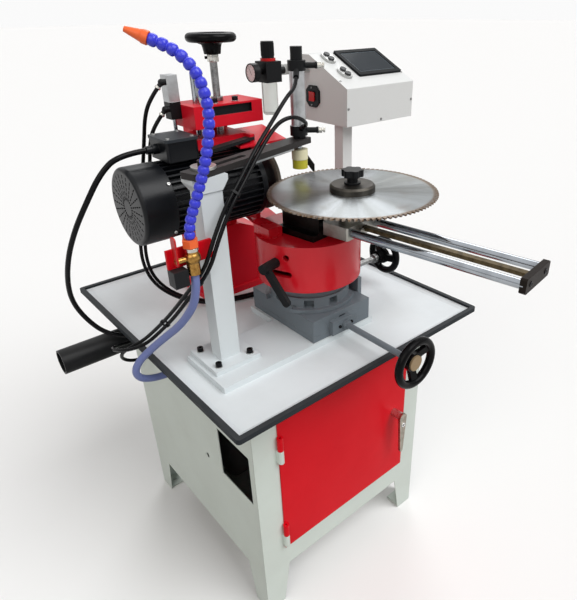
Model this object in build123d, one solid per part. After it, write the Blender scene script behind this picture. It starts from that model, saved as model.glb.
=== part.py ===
from build123d import *
import math
import os

os.makedirs("parts", exist_ok=True)

# Clearances that the fits share
slip = 0.3
play = 0.05

# How far a cutter passes the face that it opens
past = 1

# Cabinet: folded sheet on four legs, with a door in the front
sheet = 2
cab_w = 538
cab_d = 588
cab_h = 690
apron_z = 128
leg_top = 74
leg_foot = 52
pad_w = 46
pad_t = 4
anchor_r = 6
window_y = -210
window_w = 129
window_z = 448
window_h = 141
cable_hole_y = -75
cable_hole_z = 383
cable_hole_r = 7

# Door, lift-off hinges and swing-handle lock
door_x = 3
door_w = 416
door_z = 393
door_h = 394
door_t = 3
door_lap = 10
door_rim = 12
door_rim_gap = 4
hinge_r = 7
hinge_pin_r = 3
hinge_h = 36
hinge_low_z = 247
hinge_high_z = 520
hinge_inset = 1.5
hinge_stand = 8
lock_inset = 43
lock_z = 412
lock_boss_r = 11
lock_boss_h = 36
lock_lever_w = 26
lock_tip_w = 10
lock_lever_t = 7
lock_lever_l = 118
lock_shaft_r = 6
cam_l = 42
cam_w = 18
cam_t = 3
cam_gap = 3

# Tray with sloping lips and a rubber edge
tray_w = 696
tray_d = 778
lip_run = 22
lip_rise = 8
trim_out = 3
trim_in = 8
trim_up = 3
trim_down = 8
trim_corner = 8

# Coolant tank, pump and drain pipe
tank_w = 300
tank_d = 230
tank_h = 190
tank_y = 150
tank_corner = 20
pump_r = 58
pump_h = 170
pump_foot = 12
pump_foot_lap = 6
pipe_r = 30
pipe_wall = 4
pipe_reach = 212
pipe_y = 178
pipe_drop = 57
pipe_flange_r = 44
pipe_flange_t = 6

# Bed plate under the slide and the column
bed_t = 14
bed_x0 = -66
bed_x1 = 120
bed_y0 = -252
bed_y1 = -10
bed_arm_x = -292
bed_arm_y = -102

# Column and press bar
col_x = -229
col_y = -160.5
col_w = 46
col_d = 37
col_wall = 4
col_foot = 108
col_foot_t = 10
col_foot_dy = 4.5
col_head_w = 72
col_head_d = 42
col_head_h = 10
col_taper = 18
bolt_r = 4
bolt_head_r = 6.5
bolt_head_h = 8
bolt_key_r = 3.2
washer_r = 8
washer_t = 1.6
col_bolt_pitch = 76
bar_w = 40
bar_t = 12
bar_tail = 40
bar_nose = 20
bar_corner = 5
slot_w = 14
slot_back = 16
slot_front = 112
clamp_r = 6
clamp_washer_r = 23
clamp_washer_t = 5
clamp_head_r = 11
clamp_head_h = 10
clamp_depth = 20
strip_w = 8
strip_h = 10
strip_l = 130
strip_gap = 26

# Press cylinder, its rod and pad, and the feed pawl
press_x = 54
press_y = -79.6
press_rod_r = 6
pad_r = 18
pad_h = 42
pad_soft = 20
pad_soft_in = 1
pad_lift = 17
rod_show = 12
press_stroke = 16
piston_t = 14
piston_rest = 37
nose_r = 15
nose_h = 6
cap_r = 19
cap_h = 21
tube_r = 16
tube_bore_r = 13.5
tube_h = 110
collar_h = 20
boss_r = 12.5
boss_h = 26
elbow_r = 6
elbow_l = 22
elbow_tip = 10
elbow_at = -41
elbow_tip_r = 4.5
elbow_ball_r = 7
outlet_l = 14
low_outlet_at = -110
low_outlet_drop = -12
high_outlet_at = -131
high_outlet_drop = 20
pawl_pin_r = 3
pawl_t = 6
pawl_w = 15
pawl_lift = 3
pawl_reach = 38
pawl_yaw = -47
pawl_side = 19
pawl_along = 18
pawl_shoulder = 2
pawl_toe = 4
pawl_heel = 1
lug_t = 12
lug_w = 14

# Cross slide on two dovetails
slide_x = 27
slide_y = -133
base_w = 172
base_d = 231
base_t = 14
way_h = 27
way_foot = 80
way_top = 104
saddle_web = 13
cross_h = 12
cross_foot = 80
cross_top = 96
screw_r = 7
screw_lift = 1
screw_room = 3
screw_end = 4
screw_floor = 2
journal_r = 7
nut_l = 40
nut_wall = 2
plate_t = 12
plate_w = 58
plate_h = 34
plate_in = 1
plate_over = 8
table_r = 94
table_lip_r = 106
table_lip_t = 9
table_flat = 68
table_roof = 7
ring_r = 89
ring_h = 27
ring_window_w = 22
ring_window_h = 18
ring_window_d = 16
ring_windows = (-130, -94, 60, 120)
spigot_r = 30
spigot_h = 24

# Handwheels
front_wheel_r = 58
small_wheel_r = 52
rim_r = 9
hub_r = 17
hub_h = 30
wheel_boss_r = 21
wheel_boss_h = 10
wheel_dish = 31
spoke_w = 18
spoke_t = 9
spokes = 3
spoke_from = 270
hub_roof = 6
stop_collar_l = 8
stop_collar_over = 4
coupling_l = 12
coupling_over = 5
cap_disc_r = 17
cap_disc_h = 4
front_wheel_y = -468
side_wheel_x = 286
top_wheel_gap = 92

# Swivelling drum and its clamp lever
drum_r = 121
drum_h = 106
drum_wall = 12
drum_floor = 14
drum_block_inset = 14
drum_block_w = 36
drum_block_d = 74
drum_block_h = 22
lever_at = -164
lever_z = 66
lever_stem_r = 6
lever_hub_r = 11
lever_hub_l = 46
lever_side = 50
lever_drop = 68
lever_arm_w = 18
lever_arm_t = 9
groove_z = 41
groove_h = 14
groove_from = -172
groove_to = -150
peep_r = 7
peep_z = 80
peep_at = -152

# Blade slideway on the drum
blade_dx = 33
blade_dy = -111
swing = 8
way_plate_w = 156
way_plate_t = 14
way_plate_y0 = 42
way_plate_y1 = 150
rod_r = 9
rod_half = 42
rod_reach = 400
rod_block_w = 120
rod_block_y0 = 42
rod_stop = 6
rail_w = 14
rail_t = 8
end_w = 102
end_t = 12
end_h = 29
end_lap = 6
end_chamfer = 3
carriage_w = 116
carriage_d = 68
carriage_h = 28
carriage_gap = 2
carriage_chamfer = 3
carriage_screw_l = 10
rail_room = 1
post_r = 30
post_h = 41.7

# Blade, flanges and star knob
blade_r = 177.5
blade_t = 3
teeth = 100
tooth_h = 9
tooth_relief = 3
tooth_back_at = 0.5
gullet_at = 0.82
arbor_r = 12.5
arbor_pin_r = 12
arbor_pin_h = 30
thread_r = 8
flange_r = 47.5
flange_t = 15
flange_chamfer = 4
pilot_short = 2
thread_short = 4
knob_r = 23
knob_h = 14
knob_neck_r = 11
knob_neck_h = 15
knob_lobes = 6
knob_lobe_r = 7
knob_core_r = 19
knob_foot_h = 3
knob_foot_over = 6
knob_roof = 3

# Grinding head
head_y = 15
wheel_drop = 13
grind_r = 73
grind_t = 8
grind_x = 8
grind_flange_r = 30
grind_flange_t = 6
spindle_r = 14
nut_r = 19
nut_h = 10
spindle_end = 6
upright_x = -25
upright_t = 12
upright_y0 = -5
upright_down = 90
upright_bore = 34
back_t = 22
back_w = 92
back_gap = 2
arm_t = 22
arm_gap = 5
arm_x0 = -140
arm_y0 = 20
stroke_arm_w = 24
stroke_arm_d = 19
tail_h = 10
tail_root = 44
tail_face = 60
tail_x = -60
hood_t = 5
hood_x0 = -60
hood_x1 = 64
hood_y0 = -18
hood_y1 = 76
hood_fall = 19
strap_w = 20
strap_t = 7
strap_from = (-150, -40)
strap_to = (-19, 4)
strap_rise = 6
chute_x1 = 46
chute_y0 = 4
chute_t = 5
chute_fall = 22
chute_gap = 12

# Motor
fin_r = 79
core_r = 68
fin_t = 3.2
fin_root = 4
fins = 36
cover_r = 80
cover_wall = 3
cover_l = 70
motor_l = 206
motor_flange_t = 12
rotor_r = 42
rotor_l = 100
rotor_gap = 1
fan_r = 66
fan_t = 22
fan_inset = 14
fan_disc_t = 3
fan_blades = 8
fan_blade_t = 2
cover_edge = 8
slot_rings = (20, 31, 42, 53, 64)
slots_per_ring = 24
vent_l = 8
vent_w = 2.8
box_x0 = -232
box_x1 = -164
box_y0 = -29
box_y1 = 50
box_rise = 3
box_h = 38
box_corner = 6
lid_t = 6
lid_over = 2
lid_screw_in = 8
lid_screw_h = 2
neck_w = 40
gland_r = 10
gland_l = 24
gland_nut_l = 12
gland_step = 2
gland_drop = 16

# Pedestal and bridge
ped_base_t = 16
ped_base_x0 = -122
ped_base_x1 = 92
ped_base_y0 = 96
ped_base_y1 = 232
ped_x0 = -116
ped_x1 = 76
ped_y0 = 104
ped_y1 = 216
ped_low_h = 172
ped_slope = 36
ped_wall = 10
tower_x0 = -95
tower_x1 = -5
tower_d = 48
bridge_x0 = -150
bridge_x1 = 17
bridge_y0 = 0
bridge_d = 96
bridge_t = 45
neck_t = 30
bridge_gap = 25
bridge_slot_x0 = -105
bridge_slot_x1 = -11
bridge_slot_h = 18
bridge_slot_d = 8
bridge_slot_down = 4
lift_x = -66
lift_y = 48
lift_r = 8
guide_x = -117
guide_y = (25, 50)
guide_r = 6
guide_up = 104
stroke_y = 66
stroke_w = 24
stroke_d = 26
stroke_port_side = 6.5
stroke_elbow_l = 8
stroke_up = 17
stroke_low_h = 34
stroke_port_in = 13
stroke_high_h = 52
stroke_rod_r = 4
stroke_rod_up = 62

# Control box on its post
cbox_lead = 40
cbox_w = 240
cbox_y0 = -30
cbox_y1 = 145
cbox_z0 = 1103
cbox_front_h = 89
cbox_slope_run = 141
cbox_slope_rise = 70
cbox_wall = 2
cpost_w = 32
cpost_wall = 3
cpost_in = 64
cpost_y = 27
cpost_foot = 80
cpost_foot_t = 8
cpost_bolt_in = 10
panel_in = 156
panel_w = 154
panel_v = 100
panel_d = 114
panel_t = 6
panel_frame = 12
panel_corner = 4
panel_sink = 1.5
button_in = 43
button_v = (62, 131)
button_oval_w = 30
button_oval_l = 46
button_rise = 7
button_r = 8
button_gap = 20
button_up = 3
button_depth = 12
inlet_y = 95
inlet_w = 50
inlet_z = 1165
inlet_h = 52
inlet_t = 6
inlet_cut = 12
inlet_floor = 1
rocker_w = 20
rocker_h = 24
rocker_pin_r = 1.5
rocker_pin_over = 2
rocker_rise = 4
rocker_dip = 1.5

# Air regulator beside the control box
reg_x = 110
reg_y = 100
reg_w = 44
reg_z = 1210
reg_h = 46
reg_bowl_r = 19
reg_bowl_h = 76
reg_bowl_corner = 8
reg_neck_r = 12
reg_neck_h = 6
reg_knob_r = 15
reg_knob_h = 36
reg_ring_r = 18
reg_ring_h = 6
gauge_r = 21
gauge_t = 14
gauge_stem_r = 6
gauge_stem_l = 14
reg_port_r = 9
reg_port_l = 22
reg_plate_t = 5
reg_plate_h = 24

# Coolant valve and ribbed hose
valve_x = -293
valve_y = -199
valve_z0 = 940
valve_r = 12
valve_ball_r = 15
valve_ball_up = 32
valve_h = 53
valve_nut_r = 15
valve_nut_h = 14
stem_r = 5
stem_l = 18
handle_t = 3
handle_w = 16
handle_l = 46
handle_corner = 5
bracket_x0 = -335
bracket_x1 = -244
bracket_h = 36
bracket_z = 972
bracket_t = 6
block_w = 28
block_d = 26
block_h = 32
hose_bead_r = 10
hose_neck_r = 7
hose_bore_r = 4.5
hose_ribs = 24
rib_shape = ((0.04, hose_neck_r), (0.3, hose_bead_r), (0.7, hose_bead_r), (0.96, hose_neck_r))
hose_yaw = -41.5
hose_points = ((0, 0), (2, 24), (14, 56), (32, 100), (47, 145), (57, 190), (59, 218), (56, 244), (50, 265),
               (40, 283), (26, 298), (6, 311), (-20, 321))
nozzle_collar_r = 11
nozzle_collar_l = 8
nozzle_step = 1
nozzle_l = 26
nozzle_tip_r = 4.5
nozzle_bore_r = 2.5

# Cables and hoses that hang or lie free, as the points that their runs pass
bend_share = 0.45
cable_r = 5.5
air_r = 4
supply_r = 8
cord_lead = 28
cable_lead = 56
cable_points = ((-350, 22, 1090), (-382, 38, 1036), (-407, 68, 978), (-424, 106, 910), (-430, 143, 838),
                (-425, 166, 780), (-408, 166, 732), (-383, 151, 692), (-350, 138, 670), (-310, 129, 662))
stroke_a_points = ((-224, 69, 1174), (-225, 92, 1120), (-234, 108, 1050), (-246, 116, 975),
                   (-264, 116, 905), (-270, 112, 845), (-254, 108, 790), (-215, 104, 744),
                   (-168, 94, 714), (-118, 72, 700), (-61, 55, 698), (0, 41, 698), (68, 32, 698),
                   (136, 29, 699), (192, 23, 704), (232, 20, 711))
stroke_b_points = ((-222, 70, 1122), (-219, 98, 1065), (-227, 118, 1000), (-240, 127, 930),
                   (-254, 127, 868), (-251, 122, 812), (-226, 118, 765), (-185, 112, 727),
                   (-138, 97, 705), (-100, 81, 699), (-59, 67, 698), (0, 53, 698), (68, 44, 698),
                   (136, 41, 699), (192, 37, 704), (232, 35, 711))
press_a_points = ((-22, -141, 1212), (-71, -150, 1167), (-118, -162, 1129), (-171, -185, 1086),
                  (-212, -199, 1053), (-249, -206, 1000), (-275, -206, 945), (-292, -152, 880),
                  (-309, -92, 812), (-326, -44, 762), (-346, -8, 724), (-369, 14, 706), (-382, 38, 685),
                  (-380, 56, 660), (-359, 64, 639), (-328, 68, 630), (-297, 68, 627))
press_b_points = ((12, -147, 1166), (-14, -155, 1176), (-42, -156, 1175), (-66, -154, 1161),
                  (-111, -165, 1124), (-164, -188, 1081), (-205, -202, 1048), (-242, -209, 995),
                  (-268, -209, 940), (-285, -155, 875), (-302, -97, 806), (-319, -49, 756),
                  (-344, -24, 724), (-372, -2, 710), (-390, 28, 700), (-394, 64, 688), (-378, 92, 674),
                  (-346, 106, 664), (-306, 109, 658))
supply_points = ((-293, -199, 890), (-312, -156, 822), (-334, -106, 774), (-357, -71, 736), (-378, -52, 707),
                 (-388, -43, 680), (-378, -38, 655), (-350, -36, 640), (-310, -36, 634))
tie_t = 1.4
tie_w = 5
tied_runs = (press_a_points[3:5], press_a_points[6:8], press_a_points[8:10])
tied_beside = (press_b_points[5], press_b_points[8], press_b_points[10])

# Levels, from the floor up
front_y = -cab_d / 2
side_x = cab_w / 2
tray_z = cab_h + sheet
rim_z = tray_z + lip_rise
bed_z = tray_z + bed_t
base_z = bed_z + base_t
way_z = base_z + way_h
saddle_z = way_z + slip + saddle_web
cross_z = saddle_z + cross_h
table_web = 2 * screw_r + table_roof
table_z = cross_z + slip + table_web
ring_z = table_z + ring_h
drum_z0 = ring_z + slip
drum_z = drum_z0 + drum_h
way_plate_z = drum_z + way_plate_t
carriage_z0 = way_plate_z + carriage_gap
rod_z = carriage_z0 + carriage_h / 2
carriage_z = carriage_z0 + carriage_h
flange_z0 = carriage_z + post_h + slip
blade_z0 = flange_z0 + flange_t
blade_z = blade_z0 + blade_t
bar_z0 = blade_z + pad_lift + pad_h + rod_show
bar_z = bar_z0 + bar_t
head_z = blade_z0 - wheel_drop
arm_z0 = head_z + fin_r + arm_gap
arm_z = arm_z0 + arm_t
bridge_z0 = arm_z + bridge_gap
bridge_z = bridge_z0 + bridge_t

# Places that several pieces share
blade_x = slide_x + blade_dx
blade_y = slide_y + blade_dy
slideway = Location((blade_x, blade_y, 0), (0, 0, swing))
bar_yaw = math.degrees(math.atan2(press_y - col_y, press_x - col_x))
bar_span = math.hypot(press_x - col_x, press_y - col_y)
on_bar = Location((col_x, col_y, 0), (0, 0, bar_yaw))
hinge_x = door_x - door_w / 2 + hinge_inset
hinge_y = front_y - hinge_stand
lock_x = door_x + door_w / 2 - lock_inset
front_screw_z = base_z + screw_r + screw_lift
side_screw_z = cross_z + slip + screw_r + screw_floor
motor_x0 = upright_x - motor_flange_t - motor_l
cover_x0 = motor_x0 - cover_l
back_y = head_y + cover_r + back_gap
tower_y = back_y + back_t + slip
stroke_x = bridge_x0 - stroke_w / 2
stroke_z0 = bridge_z0 + stroke_up
stroke_z1 = stroke_z0 + stroke_low_h
stroke_port_x = stroke_x - stroke_w / 2 - stroke_elbow_l - elbow_tip
stroke_port_y = stroke_y - stroke_port_side
stroke_ports_z = (stroke_z1 - stroke_port_in, stroke_z1 + stroke_high_h - stroke_port_in)
press_low_z = bar_z + nose_h + cap_h / 2
press_high_z = bar_z + nose_h + cap_h + tube_h + collar_h / 2
gland_x = box_x0 - gland_l
gland_z = head_z + cover_r + box_rise + box_h - gland_drop
valve_top = valve_z0 + valve_h + valve_nut_h
ball_z = valve_z0 + valve_ball_up
pipe_z = cab_h - pipe_drop
cpost_x = tray_w / 2 - cpost_in
cbox_x0 = cpost_x - cbox_lead
cbox_x1 = cbox_x0 + cbox_w
panel_u = cbox_x0 + panel_in
button_u = cbox_x0 + button_in
slope_tilt = math.degrees(math.atan2(cbox_slope_rise, cbox_slope_run))


def around(centre, width):
    """Low and high ends of a width about a centre."""
    return (centre - width / 2, centre + width / 2)


def block(x, y, z):
    """Box between the low and high ends along each axis."""
    middle = Pos((x[0] + x[1]) / 2, (y[0] + y[1]) / 2, (z[0] + z[1]) / 2)
    return middle * Box(x[1] - x[0], y[1] - y[0], z[1] - z[0])


def rod(start, end, radius):
    """Round bar from one point to another."""
    along = Vector(end) - Vector(start)
    return extrude(Plane(start, z_dir=along) * Circle(radius), along.length)


def rod_x(x, y, z, radius):
    return rod((x[0], y, z), (x[1], y, z), radius)


def rod_y(x, y, z, radius):
    return rod((x, y[0], z), (x, y[1], z), radius)


def rod_z_axis(x, y, z, radius):
    return rod((x, y, z[0]), (x, y, z[1]), radius)


def prism_x(outline, x):
    """Outline in Y and Z, drawn out along X."""
    plane = Plane((x[0], 0, 0), x_dir=(0, 1, 0), z_dir=(1, 0, 0))
    return extrude(plane * make_face(Polyline(*outline, close=True)), x[1] - x[0])


def prism_y(outline, y):
    """Outline in X and Z, drawn out along Y."""
    plane = Plane((0, y[1], 0), x_dir=(1, 0, 0), z_dir=(0, -1, 0))
    return extrude(plane * make_face(Polyline(*outline, close=True)), y[1] - y[0])


def prism_z(outline, z):
    """Outline in X and Y, drawn out along Z."""
    plane = Plane((0, 0, z[0]), x_dir=(1, 0, 0), z_dir=(0, 0, 1))
    return extrude(plane * make_face(Polyline(*outline, close=True)), z[1] - z[0])


def polar(centre, radius, degrees):
    """Point at an angle about a centre in plan."""
    angle = math.radians(degrees)
    return (centre[0] + radius * math.cos(angle), centre[1] + radius * math.sin(angle))


def keep(name, *pieces):
    """Write the pieces of one node as separate solids."""
    solids = []
    for piece in pieces:
        solids.extend(piece.solids())
    export_step(Compound(solids), f"parts/{name}.step")


def legged_panel(width):
    """Panel outline with its lower edge cut away between two legs."""
    half = width / 2
    return [
        (-half, 0),
        (-half + leg_foot, 0),
        (-half + leg_top, apron_z),
        (half - leg_top, apron_z),
        (half - leg_foot, 0),
        (half, 0),
        (half, cab_h),
        (-half, cab_h),
    ]


def hinge_spans(middle):
    """Heights of the lower and upper knuckles of one hinge."""
    lower = (middle - hinge_h, middle)
    upper = (middle + slip, middle + slip + hinge_h)
    return lower, upper


def cabinet_front():
    panel = prism_y(legged_panel(cab_w), (front_y, front_y + sheet))
    opening_w = door_w - 2 * door_lap
    opening_h = door_h - 2 * door_lap
    through = (front_y - past, front_y + sheet + past)
    panel -= block(around(door_x, opening_w), through, around(door_z, opening_h))
    for middle in (hinge_low_z, hinge_high_z):
        lower, upper = hinge_spans(middle)
        panel += rod_z_axis(hinge_x, hinge_y, lower, hinge_r)
        panel += block((hinge_x - hinge_r, hinge_x + hinge_inset), (hinge_y, front_y), lower)
        panel += rod_z_axis(hinge_x, hinge_y, (lower[0], upper[1] - hinge_r), hinge_pin_r)
    return panel


def cabinet_sides():
    shell = Part()
    for x in (-side_x, side_x - sheet):
        shell += prism_x(legged_panel(cab_d), (x, x + sheet))
    shell += prism_y(legged_panel(cab_w), (-front_y - sheet, -front_y))
    shell += block((-side_x, side_x), (front_y, -front_y), (apron_z, apron_z + sheet))
    for x in (-1, 1):
        for y in (-1, 1):
            pad_x = x * (side_x - sheet - pad_w / 2)
            pad_y = y * (-front_y - sheet - pad_w / 2)
            pad = block(around(pad_x, pad_w), around(pad_y, pad_w), (0, pad_t))
            shell += pad - rod_z_axis(pad_x, pad_y, (-past, pad_t + past), anchor_r)
    shell -= block((-side_x - past, side_x + past), (front_y - past, front_y + sheet), (-past, cab_h + past))
    left = (-side_x - past, -side_x + sheet + past)
    shell -= block(left, around(window_y, window_w), around(window_z, window_h))
    shell -= rod_x(left, cable_hole_y, cable_hole_z, cable_hole_r)
    shell -= rod_x(left, pipe_y, pipe_z, pipe_r - pipe_wall)
    return shell


def door():
    skin_y = (front_y - slip - door_t, front_y - slip)
    skin = block(around(door_x, door_w), skin_y, around(door_z, door_h))
    rim_w = door_w - 2 * (door_lap + door_rim_gap)
    rim_h = door_h - 2 * (door_lap + door_rim_gap)
    rim_y = (skin_y[1], skin_y[1] + door_rim)
    rim = block(around(door_x, rim_w), rim_y, around(door_z, rim_h))
    rim -= block(around(door_x, rim_w - 2 * sheet), rim_y, around(door_z, rim_h - 2 * sheet))
    leaf = skin + rim
    for middle in (hinge_low_z, hinge_high_z):
        lower, upper = hinge_spans(middle)
        notch_x = (hinge_x - hinge_r - past, hinge_x + hinge_r + past)
        notch_y = (skin_y[0] - hinge_r, skin_y[1] + slip / 2)
        leaf -= block(notch_x, notch_y, (lower[0] - past, upper[0]))
        leaf += rod_z_axis(hinge_x, hinge_y, upper, hinge_r)
        leaf -= rod_z_axis(hinge_x, hinge_y, upper, hinge_pin_r + play)
    return leaf - rod_y(lock_x, (skin_y[0] - past, skin_y[1] + past), lock_z, lock_shaft_r + play)


def lock_handle():
    face = front_y - 2 * slip - door_t
    lever_y = (face - lock_boss_h, face - lock_boss_h + lock_lever_t)
    handle = rod_y(lock_x, (face - lock_boss_h, face), lock_z, lock_boss_r)
    tip_z = lock_z - lock_lever_l + lock_tip_w / 2
    head, tip = around(lock_x, lock_lever_w), around(lock_x, lock_tip_w)
    outline = [(head[0], lock_z), (tip[0], tip_z), (tip[1], tip_z), (head[1], lock_z)]
    handle += prism_y(outline, lever_y)
    handle += rod_y(lock_x, lever_y, lock_z, lock_lever_w / 2)
    handle += rod_y(lock_x, lever_y, tip_z, lock_tip_w / 2)
    cam_y = front_y - slip + door_rim + cam_gap
    handle += rod_y(lock_x, (face, cam_y + cam_t), lock_z, lock_shaft_r)
    handle += block(around(lock_x, cam_w), (cam_y, cam_y + cam_t), (lock_z - cam_w / 2, lock_z + cam_l))
    return handle


def tray():
    floor = Rectangle(tray_w - 2 * lip_run, tray_d - 2 * lip_run)
    rim = Rectangle(tray_w, tray_d)
    pan = loft([Pos(0, 0, cab_h) * floor, Pos(0, 0, cab_h + lip_rise) * rim])
    pan += extrude(Pos(0, 0, cab_h + lip_rise) * rim, sheet)
    return pan - loft([Pos(0, 0, tray_z) * floor, Pos(0, 0, rim_z) * rim])


def tray_trim(pan):
    outer = RectangleRounded(tray_w + 2 * trim_out, tray_d + 2 * trim_out, trim_corner)
    inner = Rectangle(tray_w - 2 * trim_in, tray_d - 2 * trim_in)
    return extrude(Pos(0, 0, rim_z - trim_down) * (outer - inner), trim_down + trim_up) - pan


def coolant_tank():
    floor = apron_z + sheet
    body = block(around(0, tank_w), around(tank_y, tank_d), (floor, floor + tank_h))
    body = fillet(body.edges().filter_by(Axis.Z), tank_corner)
    foot_z = floor + tank_h
    pump = block(around(0, 2 * pump_r), around(tank_y, 2 * pump_r), (foot_z, foot_z + pump_foot))
    pump += rod_z_axis(0, tank_y, (foot_z + pump_foot, foot_z + pump_h), pump_r - pump_foot_lap)
    return body, pump


def drain_pipe():
    pipe = rod_x((-side_x - pipe_reach, -side_x), pipe_y, pipe_z, pipe_r)
    pipe += rod_x((-side_x - pipe_flange_t, -side_x), pipe_y, pipe_z, pipe_flange_r)
    return pipe - rod_x((-side_x - pipe_reach - past, -side_x + past), pipe_y, pipe_z, pipe_r - pipe_wall)


def bed_plate():
    outline = [
        (bed_arm_x, bed_y0),
        (bed_x1, bed_y0),
        (bed_x1, bed_y1),
        (bed_x0, bed_y1),
        (bed_x0, bed_arm_y),
        (bed_arm_x, bed_arm_y),
    ]
    return prism_z(outline, (tray_z, bed_z))


def column_bolt_places():
    half = col_bolt_pitch / 2
    return [(col_x + x, col_y + col_foot_dy + y) for x in (-half, half) for y in (-half, half)]


def post_bolt_places():
    half = cpost_foot / 2 - cpost_bolt_in
    return [(cpost_x + x, cpost_y + y) for x in (-half, half) for y in (-half, half)]


def bridge_bolt_places():
    side = lift_r + hub_r
    return [(lift_x + x, bridge_y0 + hub_r) for x in (-side, side)]


def column():
    foot_z = bed_z + col_foot_t
    foot = block(around(col_x, col_foot), around(col_y + col_foot_dy, col_foot), (bed_z, foot_z))
    for x, y in column_bolt_places():
        foot -= rod_z_axis(x, y, (bed_z - past, foot_z + past), bolt_r + play)
    head_z0 = bar_z0 - col_head_h
    tube = block(around(col_x, col_w), around(col_y, col_d), (foot_z, bar_z0))
    half, neck = col_head_w / 2, col_w / 2
    outline = [
        (col_x - neck, head_z0 - col_taper),
        (col_x + neck, head_z0 - col_taper),
        (col_x + half, head_z0),
        (col_x + half, bar_z0),
        (col_x - half, bar_z0),
        (col_x - half, head_z0),
    ]
    head = prism_y(outline, around(col_y, col_head_d))
    hollow_w, hollow_d = col_w - 2 * col_wall, col_d - 2 * col_wall
    hollow = block(around(col_x, hollow_w), around(col_y, hollow_d), (bed_z - past, head_z0 - col_taper))
    post = foot + tube + head - hollow
    return post - rod_z_axis(col_x, col_y, (bar_z0 - clamp_depth, bar_z0 + past), clamp_r + play)


def socket_bolt(x, y, seat_z, depth):
    """Socket-head bolt and its washer, standing on a seat."""
    head_z = seat_z + washer_t
    bolt = rod_z_axis(x, y, (head_z, head_z + bolt_head_h), bolt_head_r)
    bolt += rod_z_axis(x, y, (seat_z - depth, head_z), bolt_r)
    bolt += rod_z_axis(x, y, (seat_z, head_z), washer_r)
    key = extrude(Pos(x, y, head_z + bolt_head_h / 2) * RegularPolygon(bolt_key_r, 6), bolt_head_h)
    return bolt - key


def fasteners():
    bolts = [socket_bolt(x, y, bed_z + col_foot_t, col_foot_t) for x, y in column_bolt_places()]
    bolts += [socket_bolt(x, y, tray_z + cpost_foot_t, cpost_foot_t) for x, y in post_bolt_places()]
    bolts += [socket_bolt(x, y, bridge_z, bridge_t / 2) for x, y in bridge_bolt_places()]
    clamp = rod_z_axis(col_x, col_y, (bar_z, bar_z + clamp_washer_t), clamp_washer_r)
    hexagon = Pos(col_x, col_y, bar_z + clamp_washer_t) * RegularPolygon(clamp_head_r, 6)
    clamp += extrude(hexagon, clamp_head_h)
    clamp += rod_z_axis(col_x, col_y, (bar_z0 - clamp_depth, bar_z), clamp_r)
    return bolts + [clamp]


def pawl_pivot():
    """Place of the pawl's pin, under the free end of the bar."""
    return on_bar * Pos(bar_span + pawl_along, pawl_side, bar_z0 - lug_t / 2)


def press_bar():
    bar = block((-bar_tail, bar_span + bar_nose), around(0, bar_w), (bar_z0, bar_z))
    bar = fillet(bar.edges().filter_by(Axis.Z), bar_corner)
    slot = Pos((slot_front - slot_back) / 2, 0, bar_z0 - past) * SlotOverall(slot_front + slot_back, slot_w)
    bar -= extrude(slot, bar_t + 2 * past)
    bar -= rod_z_axis(bar_span, 0, (bar_z0 - past, bar_z + past), press_rod_r + play)
    bar = on_bar * bar
    gap = pawl_t + 2 * slip
    lug = Box(lug_w, gap + lug_t, lug_t) - Box(lug_w, gap, lug_t)
    lug += Rot(90, 0, 0) * Cylinder(pawl_pin_r, gap + lug_t)
    bar += pawl_pivot() * Rot(0, 0, pawl_yaw - bar_yaw) * lug
    strip_x = (bar_span - strip_gap - strip_l, bar_span - strip_gap)
    strip = on_bar * block(strip_x, around(0, strip_w), (bar_z0 - strip_h, bar_z0))
    return bar, strip


def feed_pawl():
    """Flat finger that hangs from the bar to the blade's teeth."""
    eye = pawl_w / 2
    pawl_drop = bar_z0 - lug_t / 2 - blade_z - pawl_lift
    outline = [
        (0, eye - pawl_shoulder),
        (pawl_reach, pawl_w - pawl_drop),
        (pawl_reach, -pawl_drop),
        (pawl_reach - pawl_toe, -pawl_drop),
        (-eye + pawl_heel, -eye),
    ]
    finger = Rot(90, 0, 0) * extrude(make_face(Polyline(*outline, close=True)), pawl_t / 2, both=True)
    finger += Rot(90, 0, 0) * Cylinder(lug_t / 2 - slip, pawl_t)
    finger -= Rot(90, 0, 0) * Cylinder(pawl_pin_r + play, pawl_t + 2 * past)
    return pawl_pivot() * Rot(0, 0, pawl_yaw - bar_yaw) * finger


def elbow(x, y, z, radius, toward, length, drop):
    """Push-in elbow with its tip, on the side of a cylinder."""
    end = polar((x, y), radius + length, toward) + (z,)
    tip = polar((x, y), radius + length + elbow_tip, toward) + (z - drop,)
    port = rod((x, y, z), end, elbow_r) + Pos(*end) * Sphere(elbow_ball_r)
    return port + rod(end, tip, elbow_tip_r)


def outlet(z, toward, drop):
    """Root and face of a hose outlet on the press cylinder."""
    return (press_x, press_y, z), polar((press_x, press_y), cap_r + outlet_l, toward) + (z - drop,)


def press_cylinder():
    x, y = press_x, press_y
    nose = bar_z + nose_h
    low = nose + cap_h
    high = low + tube_h
    nut = extrude(Pos(x, y, bar_z) * RegularPolygon(nose_r, 6), nose_h)
    bottom = rod_z_axis(x, y, (nose, low), cap_r)
    bottom += elbow(x, y, press_low_z, cap_r, elbow_at, elbow_l, 0)
    bottom += rod(*outlet(press_low_z, low_outlet_at, low_outlet_drop), elbow_r)
    tube = rod_z_axis(x, y, (low, high), tube_r) - rod_z_axis(x, y, (low, high), tube_bore_r)
    top = rod_z_axis(x, y, (high, high + collar_h), cap_r)
    top += rod_z_axis(x, y, (high + collar_h, high + collar_h + boss_h), boss_r)
    top += elbow(x, y, press_high_z, cap_r, elbow_at, elbow_l, 0)
    top += rod(*outlet(press_high_z, high_outlet_at, high_outlet_drop), elbow_r)
    through = rod_z_axis(x, y, (bar_z - past, low + past), press_rod_r + play)
    return nut - through, bottom - through, tube, top


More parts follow.
